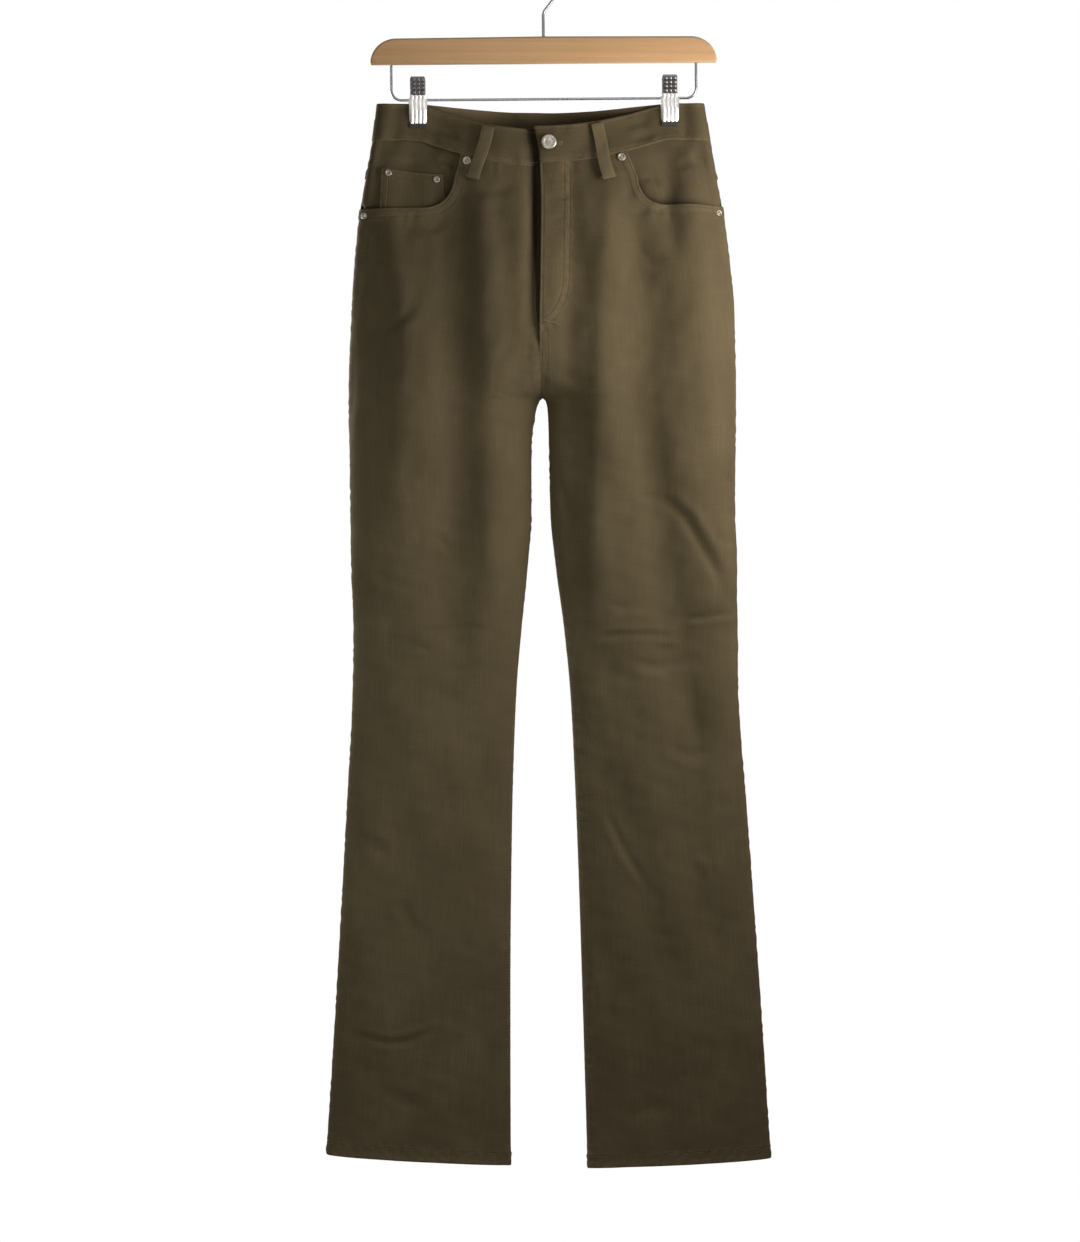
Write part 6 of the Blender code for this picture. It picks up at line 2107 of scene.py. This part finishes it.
# ------------ metal on cloth
@dataclass
class Hardware:
    """The waist button and the six rivets."""

    surface: ClothSurface
    button_radius: float = 8.3
    button_at: tuple = (6.5, 43.5)
    rivets: tuple = (
        ("rivet_pocket_front_right", R, -82.0, 62.5, 4.7, 0.7),
        ("rivet_pocket_front_left", L, 84.5, 59.0, 4.7, 0.7),
        ("rivet_pocket_side_right", R, -192.5, 122.0, 3.8, 0.6),
        ("rivet_pocket_side_left", L, 189.0, 119.0, 3.8, 0.6),
        ("rivet_watch_outer", R, -166.5, 75.5, 3.8, -1.2),
        ("rivet_watch_inner", R, -114.5, 82.5, 3.8, -1.2),
    )

    def seat(self, leg: Leg, x: float, drop: float, radius: float, lift: float) -> tuple[Array, Array]:
        """Where a round piece rests, and its direction."""
        out = self.surface.facing_out(F, leg, np.array([x]), np.array([drop]))[0]
        middle = self.surface.laid(F, leg, np.array([x]), np.array([drop]), 0.0, panel=False)[0]
        turns = np.radians(np.arange(0, 360, 30))
        around = (x + radius * np.cos(turns), drop + radius * np.sin(turns))
        rim = self.surface.laid(F, leg, *around, 0.0, panel=False)
        highest = max(0.0, float(((rim - middle) @ out).max()))
        return middle + out * (highest + lift), out

    def build(self) -> list[Piece]:
        """Makes the button and the rivets.

        Returns:
            The two finished pieces.
        """
        profile = (
            (0.0, 4.95), (1.2, 4.93), (2.6, 4.8), (3.6, 4.6), (4.1, 4.42), (4.5, 4.4), (4.9, 4.62),
            (5.5, 4.86), (6.3, 4.92), (7.1, 4.8), (7.7, 4.5), (8.1, 4.1), (self.button_radius, 3.6),
            (8.2, 3.2), (7.6, 2.95), (6.0, 2.8), (3.5, 2.7), (3.4, 2.4), (3.4, -0.6), (0.0, -0.6),
        )
        verts, faces = lathe(profile, 48)
        place, out = self.seat(L, *self.button_at, 3.4, 1.5)
        verts = verts @ turned_to(out).T + place
        button = new_object("tack_button", mesh_of("button", verts, faces))
        made = [finished(button, NICKEL, "brushed_nickel", "waist_button")]
        shape = (
            (0.0, 1.15), (0.45, 1.2), (0.85, 1.05), (1.1, 0.6), (1.35, 0.34), (1.7, 0.36), (2.05, 0.75),
            (2.5, 1.2), (3.1, 1.42), (3.7, 1.4), (4.2, 1.15), (4.55, 0.75), (4.7, 0.3), (4.7, -0.7),
            (0.0, -0.7),
        )
        parts = []
        for _, leg, x, drop, radius, lift in self.rivets:
            verts, faces = lathe(shape, 28)
            place, out = self.seat(leg, x, drop, radius, lift)
            parts.append((verts * (radius / 4.7, radius / 4.7, 1.0) @ turned_to(out).T + place, faces))
        rivets = new_object("pocket_rivets", mesh_of("rivets", *joined(parts)))
        made.append(finished(rivets, RIVET, "brushed_nickel", *[row[0] for row in self.rivets]))
        return made


# ------------ the hanger
@dataclass
class Hanger:
    """The wooden bar, its wire hook and rod, and the two sprung clips."""

    tilt: float = math.radians(0.45)
    wire: float = 3.2
    bow: float = 20.0
    bar_top: float = 77.0
    bar_height: float = 29.5
    bar_length: float = 374.0
    bar_depth: float = 12.0
    end_round: float = 28.0
    neck: float = 26.0
    rod_wire: float = 2.8
    rod_half: float = 164.5
    rod_drop: float = 144.6
    rod_corner: float = 11.0
    clip_x: float = 136.0
    jaw_width: float = 18.6
    tab_width: float = 15.6
    profile: tuple = (
        (24.0, 11.5), (15.0, 8.4), (7.0, 5.6), (1.5, 4.9),
        (-5.0, 6.4), (-12.0, 7.6), (-19.0, 6.9), (-26.0, 5.5),
    )

    def tilted(self, verts: Array) -> Array:
        """Points turned with the hanger, which hangs a little high on the wearer's left."""
        c, s = math.cos(self.tilt), math.sin(self.tilt)
        x, z = verts[:, 0] * c - verts[:, 2] * s, verts[:, 0] * s + verts[:, 2] * c
        return np.stack([x, verts[:, 1], z], axis=1)

    def bar(self) -> Piece:
        """The bar: a straight foot and a long rounded shoulder at each end, with softened edges."""
        half, foot = self.bar_length / 2, -self.bar_top - self.bar_height
        centre = half - self.end_round
        end = arc_points((centre, foot + 2.0), (self.end_round, self.bar_height - 3.0), 0, 90, 22)
        right = [(half - 1.0, foot), *end]
        outline = [*right, (0.0, -self.bar_top), *[(-x, z) for x, z in reversed(right)]]
        shape = bmesh.new()
        near = [shape.verts.new((x * MM, -self.bar_depth / 2 * MM, z * MM)) for x, z in outline]
        face = shape.faces.new(near)
        grown = bmesh.ops.extrude_face_region(shape, geom=[face])["geom"]
        moved = [v for v in grown if isinstance(v, bmesh.types.BMVert)]
        bmesh.ops.translate(shape, verts=moved, vec=(0, self.bar_depth * MM, 0))
        bmesh.ops.recalc_face_normals(shape, faces=shape.faces[:])
        edges = [e for e in shape.edges if abs(e.verts[0].co.y - e.verts[1].co.y) < 1e-6]
        bmesh.ops.bevel(shape, geom=edges, offset=2.6 * MM, segments=5, profile=0.5, affect="EDGES")
        mesh = bpy.data.meshes.new("bar")
        bmesh.ops.transform(shape, matrix=Matrix.Rotation(-self.tilt, 4, "Y"), verts=shape.verts[:])
        shape.to_mesh(mesh)
        shape.free()
        mesh.shade_smooth()
        return finished(new_object("beech_bar", mesh), BEECH, "beech", "hanger_bar")

    def wires(self) -> list[Piece]:
        """The hook and the rod.

        Returns:
            The two finished pieces.
        """
        centre_z = -(self.bow - self.wire / 2)
        neck_top = -self.bar_top + self.neck
        rise = centre_z - neck_top
        lean = math.asin(self.bow / rise)
        neck = [(0.0, z) for z in np.linspace(-self.bar_top - 14.0, neck_top - 3.0, 8)]
        reach = math.sqrt(rise**2 - self.bow**2)
        slant = [
            (math.sin(lean) * reach * s, neck_top + math.cos(lean) * reach * s)
            for s in (0.08, 0.2, 0.4, 0.6, 0.8, 0.93)
        ]
        bow = arc_points((0.0, centre_z), (self.bow, self.bow), math.degrees(-lean), 205.0, 56)
        line = np.array([(x, 0.0, z) for x, z in [*neck, *slant, *bow]])
        verts, faces = tube(line, self.wire / 2, 16, taper_end=True)
        hook = new_object("wire_hook", mesh_of("hook", self.tilted(verts), faces))
        made = [finished(hook, CHROME, "chrome_wire", "hanger_hook")]
        top = -self.bar_top - self.bar_height + 8.0
        inner, corner_z = self.rod_half - self.rod_corner, -self.rod_drop + self.rod_corner
        right = arc_points((inner, corner_z), (self.rod_corner, self.rod_corner), 0, -90, 14)
        halfway = [(self.rod_half, top), (self.rod_half, top - 12.0), (self.rod_half, corner_z + 3.0), *right]
        halfway += [(x, -self.rod_drop) for x in (140.0, 110.0, 60.0, 20.0)]
        line = np.array([(x, 0.0, z) for x, z in [*halfway, *[(-x, z) for x, z in reversed(halfway)]]])
        verts, faces = tube(line, self.rod_wire / 2, 14)
        rod = new_object("wire_rod", mesh_of("rod", self.tilted(verts), faces))
        made.append(finished(rod, CHROME, "chrome_wire", "hanger_rod"))
        return made

    def leaf(self, face: Face, tab: bool) -> Sheet:
        """One leaf of a clip about the rod: the dimpled thumb tab, or the fluted jaw below it."""
        line = Smooth(*zip(*sorted(self.profile)))
        high, low = (24.4, 5.0) if tab else (5.0, -25.6)
        z = np.linspace(high, low, 56 if tab else 60)[:, None]
        width = self.tab_width if tab else self.jaw_width
        u = np.linspace(-0.5, 0.5, 61)[None, :]
        corner = ease((high - z) / 2.2) if tab else np.ones(z.shape)
        x = u * (width - 1.6 * (1 - corner))
        depth = line(z) + 0.0 * x
        if tab:
            for cx in (-4.7, 0.0, 4.7):
                for cz in (7.9, 12.2, 16.5, 20.8):
                    depth = depth + 1.0 * np.clip(1.0 - np.hypot(x - cx, (z - cz) * 1.1) / 2.3, 0, 1) ** 0.6
            curl = 0.8 * ease((z - 22.6) / 1.8)
            depth = depth - curl
        else:
            fade = ease((5.0 - z) / 1.5 + 0.3)
            for cx in (-6.3, -2.1, 2.1, 6.3):
                depth = depth + 1.15 * fade * np.sqrt(np.clip(1.0 - ((x - cx) / 1.55) ** 2, 0, 1))
            wing = ease((np.abs(x) - width / 2 + 1.0) / 1.0)
            depth = depth - 1.6 * wing
        points = np.stack(np.broadcast_arrays(x, face * depth, z), axis=-1)
        plan = np.stack(np.broadcast_arrays(x, z), axis=-1)
        return Sheet.from_grid(points, 0.9, face == B, plan=plan)

    def clips(self) -> list[Piece]:
        """Both clips: leaves, springs and rubber grips.

        Returns:
            The finished pieces.
        """
        made = []
        for word, x in (("right", -self.clip_x), ("left", self.clip_x)):
            shift = np.array([x, 0.0, -self.rod_drop])
            for face, side in ((F, "front"), (B, "back")):
                for tab in (True, False):
                    sheet = self.leaf(face, tab)
                    sheet.points = self.tilted(sheet.points + shift)
                    kind = "tab" if tab else "jaw"
                    leaf = new_object(f"clip_{kind}_{side}_{word}", sheet.closed(f"{kind} {side} {word}"))
                    nodes = () if tab else (f"clip_{side}_{word}",)
                    made.append(finished(leaf, PAINTED_DARK_STEEL if tab else CLIP_STEEL, "clip_steel", *nodes))
                made.append(self.grip(face, side, word, shift))
            turns = np.linspace(0, 2 * math.pi * 5.5, 150)
            coil = np.stack([np.linspace(-6.2, 6.2, 150), 3.0 * np.cos(turns), 3.0 * np.sin(turns)], axis=1)
            start = np.array([[-6.2, 4.2, 9.0], [-6.2, 3.6, 4.0], [-6.2, 3.2, 1.6]])
            finish = np.array([[6.2, -3.2, 1.6], [6.2, -3.6, 4.0], [6.2, -4.2, 9.0]])
            line = np.vstack([start, coil, finish]) + shift
            verts, faces = tube(line, 0.62, 8)
            spring = new_object(f"coil_spring_{word}", mesh_of("spring", self.tilted(verts), faces))
            made.append(finished(spring, CHROME, "chrome_wire", f"clip_spring_{word}"))
        return made

    def grip(self, face: Face, side: str, word: str, shift: Array) -> Piece:
        """The ribbed rubber grip inside a jaw, whose comb shows below the steel."""
        count = 7
        near, thick, width, top, low = 3.25, 1.7, 17.6, -19.5, -30.0
        u = np.linspace(-0.5, 0.5, 6 * count + 1)[None, :]
        z = np.linspace(top, low, 22)[:, None]
        x = u * width + 0.0 * z
        wave = 0.5 - 0.5 * np.cos(2 * math.pi * u * count + math.pi * (count + 1))
        lower = ease((-24.0 - z) / 2.0)
        depth = near + thick + 0.9 * wave * lower + 0.0 * x
        z = z + 1.0 * (1 - wave) * ease((-27.0 - z) / 3.0)
        points = np.stack(np.broadcast_arrays(x, face * depth, z), axis=-1) + shift
        points = self.tilted(points.reshape(-1, 3)).reshape(points.shape)
        sheet = Sheet.from_grid(points, thick, face == B)
        made = new_object(f"clip_grip_{side}_{word}", sheet.closed(f"grip {side} {word}"))
        return finished(made, RUBBER, "clip_rubber", f"clip_pad_{side}_{word}")

    def build(self) -> list[Piece]:
        """Makes the whole hanger.

        Returns:
            The finished pieces.
        """
        return [self.bar(), *self.wires(), *self.clips()]


# ------------ the studio
@dataclass(frozen=True)
class Lamp:
    """A soft square light."""

    name: str
    place: tuple
    aim: tuple
    size: float
    power: float
    colour: tuple = (1.0, 1.0, 1.0)

    def build(self) -> None:
        """Puts the light in the scene."""
        data = bpy.data.lights.new(self.name, "AREA")
        data.shape, data.size, data.energy, data.color = "SQUARE", self.size, self.power, self.colour
        made = bpy.data.objects.new(self.name, data)
        made.location = self.place
        made.rotation_euler = (Vector(self.aim) - Vector(self.place)).to_track_quat("-Z", "Y").to_euler()
        made.visible_camera = False
        bpy.context.scene.collection.objects.link(made)


@dataclass
class Studio:
    """A pale floor, a white background, soft lights and the camera."""

    floor_z: float = -1.62
    floor_size: float = 7.0
    ambient: float = 0.012
    reflected: float = 0.7
    camera_at: tuple = (-0.003, -9.0, -0.708)
    lens: float = 241.6
    lamps: tuple = (
        Lamp("key", (0.6, -0.35, -0.34), (0.05, 0.0, -0.5), 0.4, 6.1, (1.0, 0.95, 0.90)),
        Lamp("fill", (-0.1, -0.95, -0.6), (0.0, 0.0, -0.6), 0.4, 1.9, (0.97, 1.0, 0.92)),
        Lamp("low_fill", (-0.6, -0.45, -0.84), (-0.1, 0.0, -0.8), 0.3, 1.15, (0.98, 1.0, 0.96)),
        Lamp("top_fill", (0.15, -0.9, 0.36), (0.0, 0.0, -0.25), 0.3, 0.9, (1.0, 0.98, 0.93)),
        Lamp("back_key", (-0.62, 0.42, -0.34), (-0.05, 0.0, -0.55), 0.4, 6.0, (1.0, 0.97, 0.93)),
        Lamp("back_fill", (0.25, 1.0, -0.75), (0.0, 0.0, -0.65), 0.6, 2.8, (0.98, 1.0, 0.96)),
    )

    def build(self) -> None:
        """Sets up the studio."""
        for lamp in self.lamps:
            lamp.build()
        floor = new_object("studio_floor", self.disc())
        floor.location = (0.0, 0.0, self.floor_z)
        floor.data.materials.append(FLOOR.made())
        self.sky()
        data = bpy.data.cameras.new("camera")
        data.lens, data.sensor_width = self.lens, 36.0
        camera = bpy.data.objects.new("camera", data)
        camera.location = self.camera_at
        camera.rotation_euler = (math.radians(90.0), 0.0, 0.0)
        bpy.context.scene.collection.objects.link(camera)
        bpy.context.scene.camera = camera
        bpy.context.scene.view_settings.view_transform = "Standard"

    def disc(self) -> bpy.types.Mesh:
        """The round floor."""
        shape = bmesh.new()
        bmesh.ops.create_circle(shape, cap_ends=True, segments=96, radius=self.floor_size)
        mesh = bpy.data.meshes.new("floor")
        shape.to_mesh(mesh)
        shape.free()
        return mesh

    def sky(self) -> None:
        """A background that is white to the eye and softer as a light."""
        world = bpy.data.worlds.new("studio")
        world.use_nodes = True
        world.node_tree.nodes.clear()
        bpy.context.scene.world = world
        nodes = Nodes(world.node_tree)
        path = nodes.add("ShaderNodeLightPath").outputs
        place = nodes.add("ShaderNodeTexCoord").outputs["Generated"]
        height = Term(nodes, nodes.add("ShaderNodeSeparateXYZ", None, {0: place}).outputs[2])
        glow = nodes.mix(height.step(-0.7, 0.8), rgba((0.5, 0.5, 0.5)), rgba((1.0, 1.0, 1.0)))
        soft = nodes.add("ShaderNodeBackground", None, {"Color": glow, "Strength": self.ambient})
        shine = nodes.add("ShaderNodeBackground", None, {"Color": glow, "Strength": self.reflected})
        white = nodes.add("ShaderNodeBackground", None, {"Color": rgba((1.0, 1.0, 1.0)), "Strength": 1.0})
        inputs = {0: path["Is Glossy Ray"], 1: soft.outputs[0], 2: shine.outputs[0]}
        lit = nodes.add("ShaderNodeMixShader", None, inputs)
        inputs = {0: path["Is Camera Ray"], 1: lit.outputs[0], 2: white.outputs[0]}
        mixed = nodes.add("ShaderNodeMixShader", None, inputs)
        nodes.add("ShaderNodeOutputWorld", None, {"Surface": mixed.outputs[0]})


def corners(box: tuple) -> list[list[float]]:
    """A box as plain lists of numbers."""
    return [[float(v) for v in corner] for corner in box]


def main() -> None:
    """Loads the frame and dresses it, piece by piece."""
    logging.basicConfig(level=logging.INFO, format="%(message)s")
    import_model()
    surface = ClothSurface(HangingForm())
    sewing = Needlework(surface)
    made = []
    for part in (
        LegPanels(surface, sewing),
        Waistband(surface, sewing),
        BeltLoops(surface, sewing),
        Pockets(surface, sewing),
        Fly(surface, sewing),
        Hardware(surface),
        Hanger(),
        sewing,
    ):
        made += part.build()
        log.info("%s done", type(part).__name__)
    Studio().build()
    bpy.context.view_layer.update()
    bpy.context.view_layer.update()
    triangles = {o.name: sum(len(p.vertices) - 2 for p in o.data.polygons) for o in made}
    log.info("%d triangles in all, %d in the largest piece", sum(triangles.values()), max(triangles.values()))


if __name__ == "__main__":
    main()
